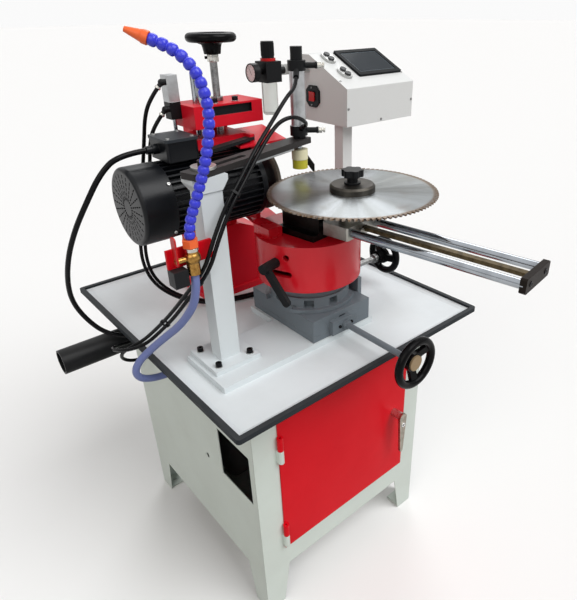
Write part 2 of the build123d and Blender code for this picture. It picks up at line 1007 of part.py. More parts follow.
def press_rod():
    x, y = press_x, press_y
    pad_z = bar_z0 - rod_show
    piston_z = bar_z + nose_h + cap_h + press_stroke + piston_rest
    shaft = rod_z_axis(x, y, (pad_z, piston_z), press_rod_r)
    shaft += rod_z_axis(x, y, (piston_z, piston_z + piston_t), tube_bore_r - play)
    shaft += rod_z_axis(x, y, (pad_z - pad_h + pad_soft, pad_z), pad_r)
    soft = rod_z_axis(x, y, (pad_z - pad_h, pad_z - pad_h + pad_soft), pad_r - pad_soft_in)
    return shaft, soft


def trapezoid(centre, foot, top, z):
    half_foot, half_top = foot / 2, top / 2
    return [
        (centre - half_foot, z[0]),
        (centre + half_foot, z[0]),
        (centre + half_top, z[1]),
        (centre - half_top, z[1]),
    ]


def groove_outline(centre, foot, top, z):
    """Dovetail groove that clears its tongue by the slip all round."""
    spread = (top - foot) / (z[1] - z[0])
    low, high = z[0] - slip, z[1] + slip
    wide = 2 * slip
    return trapezoid(centre, foot + wide - spread * slip, top + wide + spread * slip, (low, high))


def slide_base():
    x = around(slide_x, base_w)
    y = around(slide_y, base_d)
    base = block(x, y, (bed_z, base_z))
    base += prism_y(trapezoid(slide_x, way_foot, way_top, (base_z, way_z)), y)
    channel = around(slide_x, 2 * (screw_r + screw_room))
    channel_z = (front_screw_z - screw_r - screw_room, way_z + past)
    base -= block(channel, (y[0] - past, y[1] - plate_t), channel_z)
    plate_x0 = slide_x - way_foot / 2 + plate_in
    plate_x = (plate_x0, plate_x0 + plate_w)
    plate = block(plate_x, (y[0] - plate_t, y[0]), (front_screw_z - plate_h / 2, front_screw_z + plate_h / 2))
    plate -= rod_y(slide_x, (y[0] - plate_t - past, y[0] + past), front_screw_z, journal_r + play)
    return base, plate


def saddle():
    x = around(slide_x, base_w)
    y = around(slide_y, base_d)
    body = block(x, y, (base_z + slip, saddle_z))
    body -= prism_y(groove_outline(slide_x, way_foot, way_top, (base_z, way_z)), (y[0] - past, y[1] + past))
    nut_x = around(slide_x, 2 * (screw_r + nut_wall))
    nut = block(nut_x, around(slide_y, nut_l), (front_screw_z - screw_r - nut_wall, way_z + 2 * slip))
    body += nut - rod_y(slide_x, around(slide_y, nut_l + 2 * past), front_screw_z, screw_r + play)
    body += prism_x(trapezoid(slide_y, cross_foot, cross_top, (saddle_z, cross_z)), x)
    plate_y = around(slide_y, cross_top + plate_w)
    plate = block((x[1], x[1] + plate_t), plate_y, (base_z + slip, side_screw_z + screw_r + plate_over))
    plate -= rod_x((x[1] - past, x[1] + plate_t + past), slide_y, side_screw_z, journal_r + play)
    return body, plate


def top_slide():
    x, y = slide_x, slide_y
    lip_z = saddle_z + slip + table_lip_t
    body = rod_z_axis(x, y, (saddle_z + slip, lip_z), table_lip_r)
    body += rod_z_axis(x, y, (lip_z, table_z), table_r) + rod_z_axis(x, y, (table_z, ring_z), ring_r)
    flat = (x + table_flat, x + table_lip_r + past)
    body -= block(flat, (y - table_lip_r, y + table_lip_r), (saddle_z, ring_z + past))
    across = (x - table_lip_r - past, x + table_lip_r + past)
    body -= prism_x(groove_outline(y, cross_foot, cross_top, (saddle_z, cross_z)), across)
    for turn in ring_windows:
        window = Pos(*polar((x, y), table_r, turn), lip_z + ring_window_h / 2) * Rot(0, 0, turn)
        body -= window * Box(2 * ring_window_d, ring_window_w, ring_window_h)
    body += rod_z_axis(x, y, (ring_z, ring_z + spigot_h), spigot_r)
    return body - rod_x(across, y, side_screw_z, screw_r + play)


def handwheel(radius):
    """Three-spoke handwheel about Z, with the back of its hub at zero and its rim dished upward."""
    ring = Pos(0, 0, wheel_dish) * Torus(radius - rim_r, rim_r)
    hub = rod_z_axis(0, 0, (0, hub_h), hub_r) + rod_z_axis(0, 0, (hub_h - wheel_boss_h, hub_h), wheel_boss_r)
    hub += rod_z_axis(0, 0, (hub_h, hub_h + cap_disc_h), cap_disc_r)
    arms = Part()
    for i in range(spokes):
        turn = spoke_from + i * 360 / spokes
        outer = polar((0, 0), radius - rim_r, turn) + (wheel_dish,)
        root = Vector(0, 0, hub_h / 2)
        along = Vector(*outer) - root
        plane = Plane(root, x_dir=polar((0, 0), 1, turn + 90) + (0,), z_dir=along)
        arms += extrude(plane * Rectangle(spoke_w, spoke_t), along.length)
    return ring + hub + arms - rod_z_axis(0, 0, (-past, hub_h - hub_roof), journal_r + play)


def front_handwheel():
    hub_y = front_wheel_y + wheel_dish
    y0, y1 = slide_y - base_d / 2, slide_y + base_d / 2
    wheel = Location((slide_x, hub_y, front_screw_z), (90, 0, 0)) * handwheel(front_wheel_r)
    shaft = rod_y(slide_x, (hub_y - hub_h + hub_roof + slip, y0 + slip), front_screw_z, journal_r)
    shaft += rod_y(slide_x, (y0 + slip, y1 - plate_t - screw_end), front_screw_z, screw_r)
    stop_y = y0 - plate_t - slip
    shaft += rod_y(slide_x, (stop_y - stop_collar_l, stop_y), front_screw_z, journal_r + stop_collar_over)
    return wheel, shaft


def side_handwheel():
    hub_x = side_wheel_x - wheel_dish
    x0, x1 = slide_x - base_w / 2, slide_x + base_w / 2
    wheel = Location((hub_x, slide_y, side_screw_z), (0, 90, 0)) * handwheel(small_wheel_r)
    shaft = rod_x((x1 - slip, hub_x + hub_h - hub_roof - slip), slide_y, side_screw_z, journal_r)
    shaft += rod_x((x0 + screw_end, x1 - slip), slide_y, side_screw_z, screw_r)
    stop_x = x1 + plate_t + slip
    shaft += rod_x((stop_x, stop_x + stop_collar_l), slide_y, side_screw_z, journal_r + stop_collar_over)
    shaft += rod_x((hub_x - coupling_l, hub_x - slip), slide_y, side_screw_z, journal_r + coupling_over)
    return wheel, shaft


def drum():
    x, y = slide_x, slide_y
    inner = drum_r - drum_wall
    body = rod_z_axis(x, y, (drum_z0, drum_z), drum_r)
    left = x - drum_r + drum_block_inset
    block_z = (drum_z, drum_z + drum_block_h)
    rear = block((left, left + drum_block_w), (y, y + drum_block_d), block_z)
    rear &= rod_z_axis(x, y, block_z, drum_r)
    body += rear
    body -= rod_z_axis(x, y, (drum_z0 + drum_floor, drum_z - drum_floor), inner)
    body -= rod_z_axis(x, y, (drum_z0 - past, drum_z0 + drum_floor + past), spigot_r + play)
    slot = (drum_z0 + groove_z - groove_h / 2, drum_z0 + groove_z + groove_h / 2)
    wedge = [(x, y), polar((x, y), 2 * drum_r, groove_from), polar((x, y), 2 * drum_r, groove_to)]
    ring = rod_z_axis(x, y, slot, drum_r + past) - rod_z_axis(x, y, slot, inner - past)
    body -= ring & prism_z(wedge, slot)
    for turn in (groove_from, groove_to):
        body -= radial_hole(turn, groove_z, groove_h / 2)
    body -= radial_hole(peep_at, peep_z, peep_r)
    return body - radial_hole(lever_at, lever_z, lever_stem_r + play)


def radial_hole(turn, height, radius):
    """Cutter through the drum's wall at one angle and height."""
    z = drum_z0 + height
    start = polar((slide_x, slide_y), drum_r - drum_wall - past, turn) + (z,)
    end = polar((slide_x, slide_y), drum_r + past, turn) + (z,)
    return rod(start, end, radius)


def clamp_lever():
    z = drum_z0 + lever_z
    centre = (slide_x, slide_y)
    inside = polar(centre, drum_r - drum_wall, lever_at) + (z,)
    foot = polar(centre, drum_r + slip, lever_at) + (z,)
    head = polar(centre, drum_r + slip + lever_hub_l, lever_at) + (z,)
    neck = polar(centre, drum_r + slip + lever_hub_l - lever_hub_r, lever_at) + (z,)
    side = polar(neck[:2], lever_side, lever_at + 90)
    swung = Vector(*side, z - lever_drop) - Vector(*neck)
    flat = Plane(neck, x_dir=swung, z_dir=Vector(*head) - Vector(*foot))
    arm = Pos(swung.length / 2, 0) * SlotCenterToCenter(swung.length, lever_arm_w)
    lever = rod(inside, foot, lever_stem_r) + rod(foot, head, lever_hub_r)
    return lever + extrude(flat * arm, lever_arm_t / 2, both=True)


def slideway_plate():
    plate = block(around(0, way_plate_w), (way_plate_y0, way_plate_y1), (drum_z, way_plate_z))
    top = 2 * rod_z - way_plate_z
    holder = block(around(0, rod_block_w), (rod_block_y0, way_plate_y1), (way_plate_z, top))
    pocket = (rod_block_y0 - past, way_plate_y1 - rod_stop)
    for x in (-rod_half, rod_half):
        holder -= rod_y(x, pocket, rod_z, rod_r + play)
    holder -= block(around(0, rail_w + 2 * play), pocket, around(rod_z, rail_t + 2 * play))
    return slideway * (plate + holder)


def slide_rods():
    span = (-rod_reach, way_plate_y1 - rod_stop - slip)
    rods = [slideway * rod_y(x, span, rod_z, rod_r) for x in (-rod_half, rod_half)]
    return rods + [slideway * block(around(0, rail_w), span, around(rod_z, rail_t))]


def end_plate():
    y = (-rod_reach - end_t + end_lap, -rod_reach + end_lap)
    plate = block(around(0, end_w), y, around(rod_z, end_h))
    plate = chamfer(plate.edges().filter_by(Axis.Y), end_chamfer)
    pocket = (-rod_reach - slip, -rod_reach + end_lap + past)
    for x in (-rod_half, rod_half):
        plate -= rod_y(x, pocket, rod_z, rod_r + play)
    plate -= block(around(0, rail_w + 2 * play), pocket, around(rod_z, rail_t + 2 * play))
    return slideway * plate


def carriage():
    depth = around(0, carriage_d)
    body = block(around(0, carriage_w), depth, (carriage_z0, carriage_z))
    body = chamfer(body.edges().filter_by(Axis.Z), carriage_chamfer)
    through = (depth[0] - past, depth[1] + past)
    for x in (-rod_half, rod_half):
        body -= rod_y(x, through, rod_z, rod_r + play)
    body -= block(around(0, rail_w + 2 * rail_room), through, around(rod_z, rail_t + 2 * rail_room))
    body += rod_z_axis(0, 0, (carriage_z, carriage_z + post_h), post_r)
    screw_x = -(rod_half - rod_r + rail_w / 2) / 2
    body += rod_y(screw_x, (depth[0] - carriage_screw_l, depth[0]), rod_z, bolt_head_r)
    body -= rod_z_axis(0, 0, (flange_z0 - slip - arbor_pin_h - slip, flange_z0), arbor_pin_r + play)
    return slideway * body


def blade():
    pitch = 360 / teeth
    outline = []
    for i in range(teeth):
        outline.append(polar((0, 0), blade_r, i * pitch))
        outline.append(polar((0, 0), blade_r - tooth_relief, (i + tooth_back_at) * pitch))
        outline.append(polar((0, 0), blade_r - tooth_h, (i + gullet_at) * pitch))
    disc = prism_z(outline, (blade_z0, blade_z))
    return slideway * (disc - rod_z_axis(0, 0, (blade_z0 - past, blade_z + past), arbor_r + play))


def blade_flanges():
    lower = rod_z_axis(0, 0, (flange_z0, blade_z0), flange_r)
    lower += rod_z_axis(0, 0, (flange_z0 - slip - arbor_pin_h, flange_z0), arbor_pin_r)
    lower += rod_z_axis(0, 0, (blade_z0, blade_z + flange_t - pilot_short), arbor_r)
    lower += rod_z_axis(0, 0, (blade_z, blade_z + flange_t + knob_neck_h + knob_h - thread_short), thread_r)
    upper = rod_z_axis(0, 0, (blade_z, blade_z + flange_t), flange_r)
    upper = chamfer(upper.edges().group_by(Axis.Z)[-1], flange_chamfer)
    upper -= rod_z_axis(0, 0, (blade_z - past, blade_z + flange_t - pilot_short + slip), arbor_r + play)
    upper -= rod_z_axis(0, 0, (blade_z, blade_z + flange_t + past), thread_r + play)
    return slideway * lower, slideway * upper


def star_knob():
    z0 = blade_z + flange_t + slip
    z1 = z0 + knob_neck_h
    knob = rod_z_axis(0, 0, (z0, z1), knob_neck_r)
    knob += rod_z_axis(0, 0, (z0, z0 + knob_foot_h), knob_neck_r + knob_foot_over)
    knob += rod_z_axis(0, 0, (z1, z1 + knob_h), knob_core_r)
    for i in range(knob_lobes):
        x, y = polar((0, 0), knob_r - knob_lobe_r, i * 360 / knob_lobes)
        knob += rod_z_axis(x, y, (z1, z1 + knob_h), knob_lobe_r)
    return slideway * (knob - rod_z_axis(0, 0, (z0 - past, z1 + knob_h - knob_roof), thread_r + play))


def pedestal():
    plate = block((ped_base_x0, ped_base_x1), (ped_base_y0, ped_base_y1), (tray_z, tray_z + ped_base_t))
    z0 = tray_z + ped_base_t
    z1 = z0 + ped_low_h
    outline = [(ped_x0, z0), (ped_x1, z0), (ped_x1, z1 - ped_slope), (tower_x1, z1), (ped_x0, z1)]
    body = prism_y(outline, (ped_y0, ped_y1))
    body += block((tower_x0, tower_x1), (tower_y, tower_y + tower_d), (z1, bridge_z0))
    tail = [
        (tail_x - tail_root / 2, tower_y),
        (tail_x + tail_root / 2, tower_y),
        (tail_x + tail_face / 2, tower_y - tail_h),
        (tail_x - tail_face / 2, tower_y - tail_h),
    ]
    body += prism_z(tail, (z1, bridge_z0))
    hollow_z = z1 - ped_slope - ped_wall
    hollow_x = (ped_x0 + ped_wall, ped_x1 - ped_wall)
    body -= block(hollow_x, (ped_y0 + ped_wall, ped_y1 - ped_wall), (z0 - past, hollow_z))
    inner_x = (tower_x0 + ped_wall, tower_x1 - ped_wall)
    inner_y = (tower_y + ped_wall, tower_y + tower_d - ped_wall)
    body -= block(inner_x, inner_y, (hollow_z - past, bridge_z0 - ped_wall))
    return plate, body


def bridge():
    slab = block((bridge_x0, bridge_x1), (bridge_y0, bridge_y0 + bridge_d), (bridge_z0, bridge_z))
    slab += block((tower_x0, tower_x1), (bridge_y0, tower_y + tower_d), (bridge_z0, bridge_z0 + neck_t))
    slot_z = bridge_z - bridge_slot_down
    slot = (slot_z - bridge_slot_h, slot_z)
    slab -= block((bridge_slot_x0, bridge_slot_x1), (bridge_y0 - past, bridge_y0 + bridge_slot_d), slot)
    slab -= rod_z_axis(lift_x, lift_y, (bridge_z0 - past, bridge_z + past), lift_r + play)
    for y in guide_y:
        slab -= rod_z_axis(guide_x, y, (bridge_z0 - past, bridge_z + past), guide_r + play)
    for x, y in bridge_bolt_places():
        slab -= rod_z_axis(x, y, (bridge_z - bridge_t / 2, bridge_z + past), bolt_r + play)
    return slab


def stroke_cylinder():
    x, y = stroke_x, stroke_y
    top = stroke_z1 + stroke_high_h
    low = block(around(x, stroke_w), around(y, stroke_d), (stroke_z0, stroke_z1))
    high = block(around(x, stroke_w), around(y, stroke_d), (stroke_z1, top))
    low += elbow(x, stroke_port_y, stroke_ports_z[0], stroke_w / 2, 180, stroke_elbow_l, elbow_tip)
    high += elbow(x, stroke_port_y, stroke_ports_z[1], stroke_w / 2, 180, stroke_elbow_l, elbow_tip)
    bore = rod_z_axis(x, y, (stroke_z0 - past, top - stroke_port_in / 2), stroke_rod_r + play)
    return low - bore, high - bore


def rod_strap(start, end, z):
    """Flat bar with round ends between two places in plan."""
    run = math.hypot(end[0] - start[0], end[1] - start[1])
    turn = math.degrees(math.atan2(end[1] - start[1], end[0] - start[0]))
    middle = Location(((start[0] + end[0]) / 2, (start[1] + end[1]) / 2, z[0]), (0, 0, turn))
    return middle * extrude(SlotCenterToCenter(run, strap_w), z[1] - z[0])


def head_carriage():
    x1 = upright_x + upright_t
    low, high = head_z - upright_down, arm_z
    body = block((upright_x, x1), (upright_y0, back_y + back_t), (low, high))
    body += block((x1 - back_w, x1), (back_y, back_y + back_t), (low, high))
    body += block((arm_x0, x1), (arm_y0, back_y + back_t), (arm_z0, arm_z))
    body += block((stroke_x - stroke_arm_w / 2, arm_x0), around(stroke_y, stroke_arm_d), (arm_z0, arm_z))
    low_z, high_z = arm_z - hood_fall, arm_z
    hood = [(hood_y0, low_z - hood_t), (hood_y1, high_z - hood_t), (hood_y1, high_z), (hood_y0, low_z)]
    body += prism_x(hood, (hood_x0, hood_x1))
    chute_z = head_z - grind_r - chute_gap
    chute = [
        (chute_y0, chute_z - chute_fall),
        (back_y, chute_z),
        (back_y, chute_z + chute_t),
        (chute_y0, chute_z - chute_fall + chute_t),
    ]
    body += prism_x(chute, (upright_x, chute_x1))
    body -= rod_x((upright_x - past, x1 + past), head_y, head_z, upright_bore)
    tail = [
        (tail_x - tail_root / 2 - slip, tower_y + past),
        (tail_x + tail_root / 2 + slip, tower_y + past),
        (tail_x + tail_root / 2 + slip, tower_y - slip),
        (tail_x + tail_face / 2 + 2 * slip, tower_y - tail_h - slip),
        (tail_x - tail_face / 2 - 2 * slip, tower_y - tail_h - slip),
        (tail_x - tail_root / 2 - slip, tower_y - slip),
    ]
    body -= prism_z(tail, (low - past, high + past))
    body -= rod_z_axis(lift_x, lift_y, (arm_z0 - past, arm_z + past), lift_r + play)
    strap_z = high_z - hood_fall + strap_rise
    strap = rod_strap(strap_from, strap_to, (strap_z, strap_z + strap_t))
    strap += rod_z_axis(*strap_to, (strap_z - strap_rise - hood_t, strap_z), bolt_head_r)
    body += strap
    rods = [rod_z_axis(guide_x, y, (arm_z, bridge_z + guide_up - bridge_t), guide_r) for y in guide_y]
    rods.append(rod_z_axis(stroke_x, stroke_y, (arm_z, arm_z + stroke_rod_up), stroke_rod_r))
    return [body] + rods


def motor_body():
    plane = Plane((motor_x0, head_y, head_z), x_dir=(0, 1, 0), z_dir=(1, 0, 0))
    fin = Rectangle(fin_r - core_r + fin_root, fin_t)
    ribs = Circle(core_r) + PolarLocations((core_r + fin_r - fin_root) / 2, fins) * fin
    body = extrude(plane * ribs, motor_l)
    flange_x = (motor_x0 + motor_l, upright_x)
    body += rod_x(flange_x, head_y, head_z, fin_r)
    middle = motor_x0 + motor_l / 2
    hollow = around(middle, rotor_l + 2 * rotor_gap)
    body -= rod_x(hollow, head_y, head_z, rotor_r + rotor_gap)
    body -= rod_x((motor_x0 - past, upright_x + past), head_y, head_z, spindle_r + play)
    neck_x = around((box_x0 + box_x1) / 2, neck_w)
    box_z = head_z + cover_r + box_rise
    neck_z = (head_z + core_r - fin_root, box_z)
    body += block((max(neck_x[0], motor_x0), neck_x[1]), around(head_y, neck_w), neck_z)
    return body


def fan_cover():
    plane = Plane((cover_x0, head_y, head_z), x_dir=(0, 1, 0), z_dir=(1, 0, 0))
    cover = rod_x((cover_x0, cover_x0 + cover_l), head_y, head_z, cover_r)
    cover = fillet(cover.edges().sort_by(Axis.X)[0], cover_edge)
    inside = rod_x((cover_x0 + cover_wall, cover_x0 + cover_l + past), head_y, head_z, cover_r - cover_wall)
    cover -= fillet(inside.edges().sort_by(Axis.X)[0], cover_edge - cover_wall)
    slots = Sketch()
    for radius in slot_rings:
        slots += PolarLocations(radius, slots_per_ring) * Rectangle(vent_l, vent_w)
    return cover - extrude(plane * slots, cover_wall)


def terminal_box():
    z0 = head_z + cover_r + box_rise
    z1 = z0 + box_h
    body = block((box_x0, box_x1), (box_y0, box_y1), (z0, z1))
    body = fillet(body.edges().filter_by(Axis.Z), box_corner)
    lid_x = (box_x0 - lid_over, box_x1 + lid_over)
    lid_y = (box_y0 - lid_over, box_y1 + lid_over)
    lid = block(lid_x, lid_y, (z1, z1 + lid_t))
    lid = fillet(lid.edges().filter_by(Axis.Z), box_corner)
    for x in (box_x0 + lid_screw_in, box_x1 - lid_screw_in):
        for edge in (box_y0 + lid_screw_in, box_y1 - lid_screw_in):
            lid += rod_z_axis(x, edge, (z1 + lid_t, z1 + lid_t + lid_screw_h), bolt_r)
    body += rod_x((box_x0 - gland_nut_l, box_x0), head_y, gland_z, gland_r)
    body += rod_x((gland_x, box_x0), head_y, gland_z, gland_r - gland_step)
    return body, lid


def spindle():
    wheel_x0, wheel_x1 = grind_x, grind_x + grind_t
    end_x = wheel_x1 + grind_flange_t + nut_h + spindle_end
    shaft = rod_x((cover_x0 + fan_inset, end_x), head_y, head_z, spindle_r)
    rotor = around(motor_x0 + motor_l / 2, rotor_l)
    shaft += rod_x(rotor, head_y, head_z, rotor_r)
    fan_x = (cover_x0 + fan_inset, cover_x0 + fan_inset + fan_t)
    shaft += rod_x((fan_x[1] - fan_disc_t, fan_x[1]), head_y, head_z, fan_r)
    vane = block(fan_x, (spindle_r - past, fan_r - fan_disc_t), around(0, fan_blade_t))
    for i in range(fan_blades):
        shaft += Pos(0, head_y, head_z) * Rot(i * 360 / fan_blades, 0, 0) * vane
    shaft += rod_x((wheel_x0 - grind_flange_t, wheel_x0), head_y, head_z, grind_flange_r)
    outer = rod_x((wheel_x1, wheel_x1 + grind_flange_t), head_y, head_z, grind_flange_r)
    plane = Plane((wheel_x1 + grind_flange_t, head_y, head_z), x_dir=(0, 1, 0), z_dir=(1, 0, 0))
    outer += extrude(plane * RegularPolygon(nut_r, 6), nut_h)
    outer -= rod_x((wheel_x1 - past, end_x), head_y, head_z, spindle_r + play)
    return shaft, outer


def grinding_wheel():
    span = (grind_x, grind_x + grind_t)
    wheel = rod_x(span, head_y, head_z, grind_r)
    return wheel - rod_x((span[0] - past, span[1] + past), head_y, head_z, spindle_r + play)


def top_handwheel():
    hub_z = bridge_z + top_wheel_gap
    wheel = Pos(lift_x, lift_y, hub_z) * handwheel(small_wheel_r)
    shaft = rod_z_axis(lift_x, lift_y, (arm_z - arm_t / 2, bridge_z + slip), lift_r)
    shaft += rod_z_axis(lift_x, lift_y, (bridge_z, hub_z), lift_r)
    shaft += rod_z_axis(lift_x, lift_y, (hub_z, hub_z + hub_h - hub_roof - slip), journal_r)
    stop_z = bridge_z + slip
    shaft += rod_z_axis(lift_x, lift_y, (stop_z, stop_z + stop_collar_l), lift_r + coupling_over)
    return wheel, shaft


def box_post():
    foot_z = tray_z + cpost_foot_t
    x, y = around(cpost_x, cpost_w), around(cpost_y, cpost_w)
    post = block(x, y, (tray_z, cbox_z0))
    foot = block(around(cpost_x, cpost_foot), around(cpost_y, cpost_foot), (tray_z, foot_z))
    for bolt_x, bolt_y in post_bolt_places():
        foot -= rod_z_axis(bolt_x, bolt_y, (tray_z - past, foot_z + past), bolt_r + play)
    inner = cpost_w - 2 * cpost_wall
    hollow = (tray_z - past, cbox_z0 + past)
    return post + foot - block(around(cpost_x, inner), around(cpost_y, inner), hollow)


def box_outline(inset):
    """Side of the control box, drawn in by a wall."""
    front_z = cbox_z0 + cbox_front_h
    slope_y = cbox_y0 + cbox_slope_run
    top_z = front_z + cbox_slope_rise
    tilt = math.radians(slope_tilt)
    drop_front = inset * math.tan(tilt / 2)
    return [
        (cbox_y0 + inset, cbox_z0 + inset),
        (cbox_y1 - inset, cbox_z0 + inset),
        (cbox_y1 - inset, top_z - inset),
        (slope_y + drop_front, top_z - inset),
        (cbox_y0 + inset, front_z - inset * math.tan((math.pi / 2 - tilt) / 2)),
    ]


def on_slope(u, v):
    """Frame on the sloping face: u along X, v up the slope from its lower edge."""
    fold = Location((0, cbox_y0, cbox_z0 + cbox_front_h), (slope_tilt, 0, 0))
    return fold * Pos(u, v, 0)


def control_box():
    shell = prism_x(box_outline(0), (cbox_x0, cbox_x1))
    shell -= prism_x(box_outline(cbox_wall), (cbox_x0 + cbox_wall, cbox_x1 - cbox_wall))
    inner = cpost_w - 2 * cpost_wall
    cable_way = (cbox_z0 - past, cbox_z0 + cbox_wall + past)
    shell -= block(around(cpost_x, inner), around(cpost_y, inner), cable_way)
    rings = []
    for v in button_v:
        place = on_slope(button_u, v)
        oval = SlotOverall(button_oval_l, button_oval_w)
        for side in (-1, 1):
            hole = Pos(side * button_gap / 2, 0, -cbox_wall - past)
            shell -= place * Rot(0, 0, 90) * hole * extrude(Circle(button_r + slip), cbox_wall + 2 * past)
            oval -= Pos(side * button_gap / 2, 0) * Circle(button_r + slip)
        rings.append(place * Rot(0, 0, 90) * extrude(oval, button_rise))
    return [shell] + rings


def button(v, side):
    """One plunger of a twin push-button, with its head and its guide behind the face."""
    place = on_slope(button_u, v) * Rot(0, 0, 90) * Pos(side * button_gap / 2, 0, 0)
    length = button_depth + button_rise + button_up
    return place * extrude(Pos(0, 0, -button_depth) * Circle(button_r), length)


def touch_panel():
    frame = extrude(Rectangle(panel_w, panel_d), panel_t)
    frame = fillet(frame.edges().filter_by(Axis.Z), panel_corner)
    recess = Rectangle(panel_w - 2 * panel_frame, panel_d - 2 * panel_frame)
    frame -= extrude(Pos(0, 0, panel_t - panel_sink) * recess, panel_sink + past)
    return on_slope(panel_u, panel_v) * frame


def power_inlet():
    """Plate on the box's left wall, with cut corners and a pocket for the switch."""
    x = (cbox_x0 - inlet_t, cbox_x0)
    plate = block(x, around(inlet_y, inlet_w), around(inlet_z, inlet_h))
    plate = chamfer(plate.edges().filter_by(Axis.X), inlet_cut)
    pocket_y = around(inlet_y, rocker_w + 2 * slip)
    plate -= block((x[0] - past, x[1] - inlet_floor), pocket_y, around(inlet_z, rocker_h + 2 * slip))
    return plate + rod_y(x[0], around(inlet_y, rocker_w + 2 * rocker_pin_over), inlet_z, rocker_pin_r)


def rocker_switch():
    """Rocking key on a pin across the inlet plate's pocket."""
    face = cbox_x0 - inlet_t
    half = rocker_h / 2 - slip
    outline = [
        (face + rocker_dip, inlet_z - half + rocker_rise),
        (face - rocker_rise, inlet_z - half),
        (face - rocker_rise + rocker_dip, inlet_z),
        (face - rocker_rise, inlet_z + half),
        (face + rocker_dip, inlet_z + half - rocker_rise),
    ]
    hub = rod_y(face, around(inlet_y, rocker_w), inlet_z, 2 * rocker_pin_r)
    key = prism_y(outline, around(inlet_y, rocker_w)) + hub
    return key - rod_y(face, around(inlet_y, rocker_w + 2 * past), inlet_z, rocker_pin_r + play)


def regulator():
    x, y = reg_x, reg_y
    top = reg_z + reg_h
    body = block(around(x, reg_w), around(y, reg_w), (reg_z, top))
    body += rod_z_axis(x, y, (top, top + reg_neck_h), reg_neck_r)
    body += rod_x((x + reg_w / 2, x + reg_w / 2 + reg_port_l), y, reg_z + reg_h / 2, reg_port_r)
    mid = reg_z + reg_h / 2
    plate_x = (x + reg_w / 2, cbox_x0)
    plate = block(plate_x, (y + reg_port_r, y + reg_port_r + reg_plate_t), around(mid, reg_plate_h))
    face = x - reg_w / 2
    gauge = rod_x((face - gauge_stem_l, face), y, mid, gauge_stem_r)
    gauge += rod_x((face - gauge_stem_l - gauge_t, face - gauge_stem_l), y, mid, gauge_r)
    bowl = rod_z_axis(x, y, (reg_z - reg_bowl_h, reg_z), reg_bowl_r)
    bowl = fillet(bowl.edges().group_by(Axis.Z)[0], reg_bowl_corner)
    return body, plate, gauge, bowl


def regulator_knob():
    z0 = reg_z + reg_h + slip
    knob = rod_z_axis(reg_x, reg_y, (z0 + reg_ring_h, z0 + reg_ring_h + reg_knob_h), reg_knob_r)
    knob += rod_z_axis(reg_x, reg_y, (z0, z0 + reg_ring_h), reg_ring_r)
    return knob - rod_z_axis(reg_x, reg_y, (z0 - past, z0 + reg_neck_h), reg_neck_r + play)


def coolant_valve():
    x, y = valve_x, valve_y
    z1 = valve_z0 + valve_h
    body = rod_z_axis(x, y, (valve_z0, z1), valve_r)
    body += Pos(x, y, ball_z) * Sphere(valve_ball_r)
    plate_y = (col_y - col_d / 2 - bracket_t, col_y - col_d / 2)
    body += rod_y(x, (y, plate_y[0]), ball_z, stem_r)
    body += rod_x((x - valve_ball_r - stem_l, x), y, ball_z, stem_r)
    nut = extrude(Pos(x, y, z1) * RegularPolygon(valve_nut_r, 6), valve_nut_h)
    plate = block((bracket_x0, bracket_x1), plate_y, around(bracket_z, bracket_h))
    low = bracket_z - bracket_h / 2
    hanger_y = (plate_y[1] - block_d, plate_y[1])
    hanger = block((bracket_x0, bracket_x0 + block_w), hanger_y, (low - block_h, low))
    return body, nut, plate, hanger


def valve_lever():
    x = valve_x - valve_ball_r - stem_l
    lever_span = (ball_z - handle_w / 2, ball_z + handle_l)
    flat = block((x, x + handle_t), around(valve_y, handle_w), lever_span)
    flat = fillet(flat.edges().filter_by(Axis.X), handle_corner)
    return flat - rod_x((x - past, x + handle_t + past), valve_y, ball_z, stem_r + play)


def in_hose_plane(out, up):
    """Point in the upright plane through the valve that the ribbed hose lies in."""
    return polar((valve_x, valve_y), out, hose_yaw) + (valve_top + up,)


def coolant_hose():
    """Ribbed hose with its bore, and the nozzle on its free end."""
    path = Spline(*[in_hose_plane(*point) for point in hose_points], tangents=((0, 0, 1), nozzle_way()))
    across = polar((0, 0), 1, hose_yaw + 90) + (0,)
    stations = [(0, hose_neck_r)]
    for rib in range(hose_ribs):
        stations += [((rib + share) / hose_ribs, radius) for share, radius in rib_shape]
    stations.append((1, hose_neck_r))
    outside = [ring_on(path, at, across, radius) for at, radius in stations]
    inside = [ring_on(path, rib / hose_ribs, across, hose_bore_r) for rib in range(hose_ribs + 1)]
    hose = loft(outside, ruled=True) - loft(inside, ruled=True)
    tip = Plane(path @ 1, x_dir=across, z_dir=path % 1)
    collar = extrude(tip * Circle(nozzle_collar_r), nozzle_collar_l)
    seat = tip.offset(nozzle_collar_l)
    cone = loft([seat * Circle(nozzle_collar_r - nozzle_step), seat.offset(nozzle_l) * Circle(nozzle_tip_r)])
    nozzle = collar + cone - extrude(tip * Circle(nozzle_bore_r), nozzle_collar_l + nozzle_l)
    return hose, nozzle


def nozzle_way():
    """Direction in which the hose's free end points."""
    before, last = hose_points[-2:]
    return Vector(*in_hose_plane(*last)) - Vector(*in_hose_plane(*before))


def ring_on(path, at, across, radius):
    """Circle square to a path, at a share of its length."""
    return Plane(path @ at, x_dir=across, z_dir=path % at) * Circle(radius)


def cord(name, points, radius):
    """Tube along straight runs joined by arcs that are as wide as their runs allow."""
    bends = []
    for before, at, after in zip(points, points[1:], points[2:]):
        first = Vector(at) - Vector(before)
        second = Vector(after) - Vector(at)
        turn = math.radians(first.get_angle(second))
        bends.append(bend_share * min(first.length, second.length) / math.tan(turn / 2))
    path = FilletPolyline(*points, radius=bends)
    tube = sweep(Plane(path @ 0, z_dir=path % 0) * Circle(radius), path)
    section = math.pi * radius ** 2
    share = tube.volume / (section * path.length)
    tightest = min(bends) / (2 * radius)
    print(f"{name}: length {path.length:.0f}, least bend {tightest:.1f} diameters, volume {share:.3f}")
    return tube


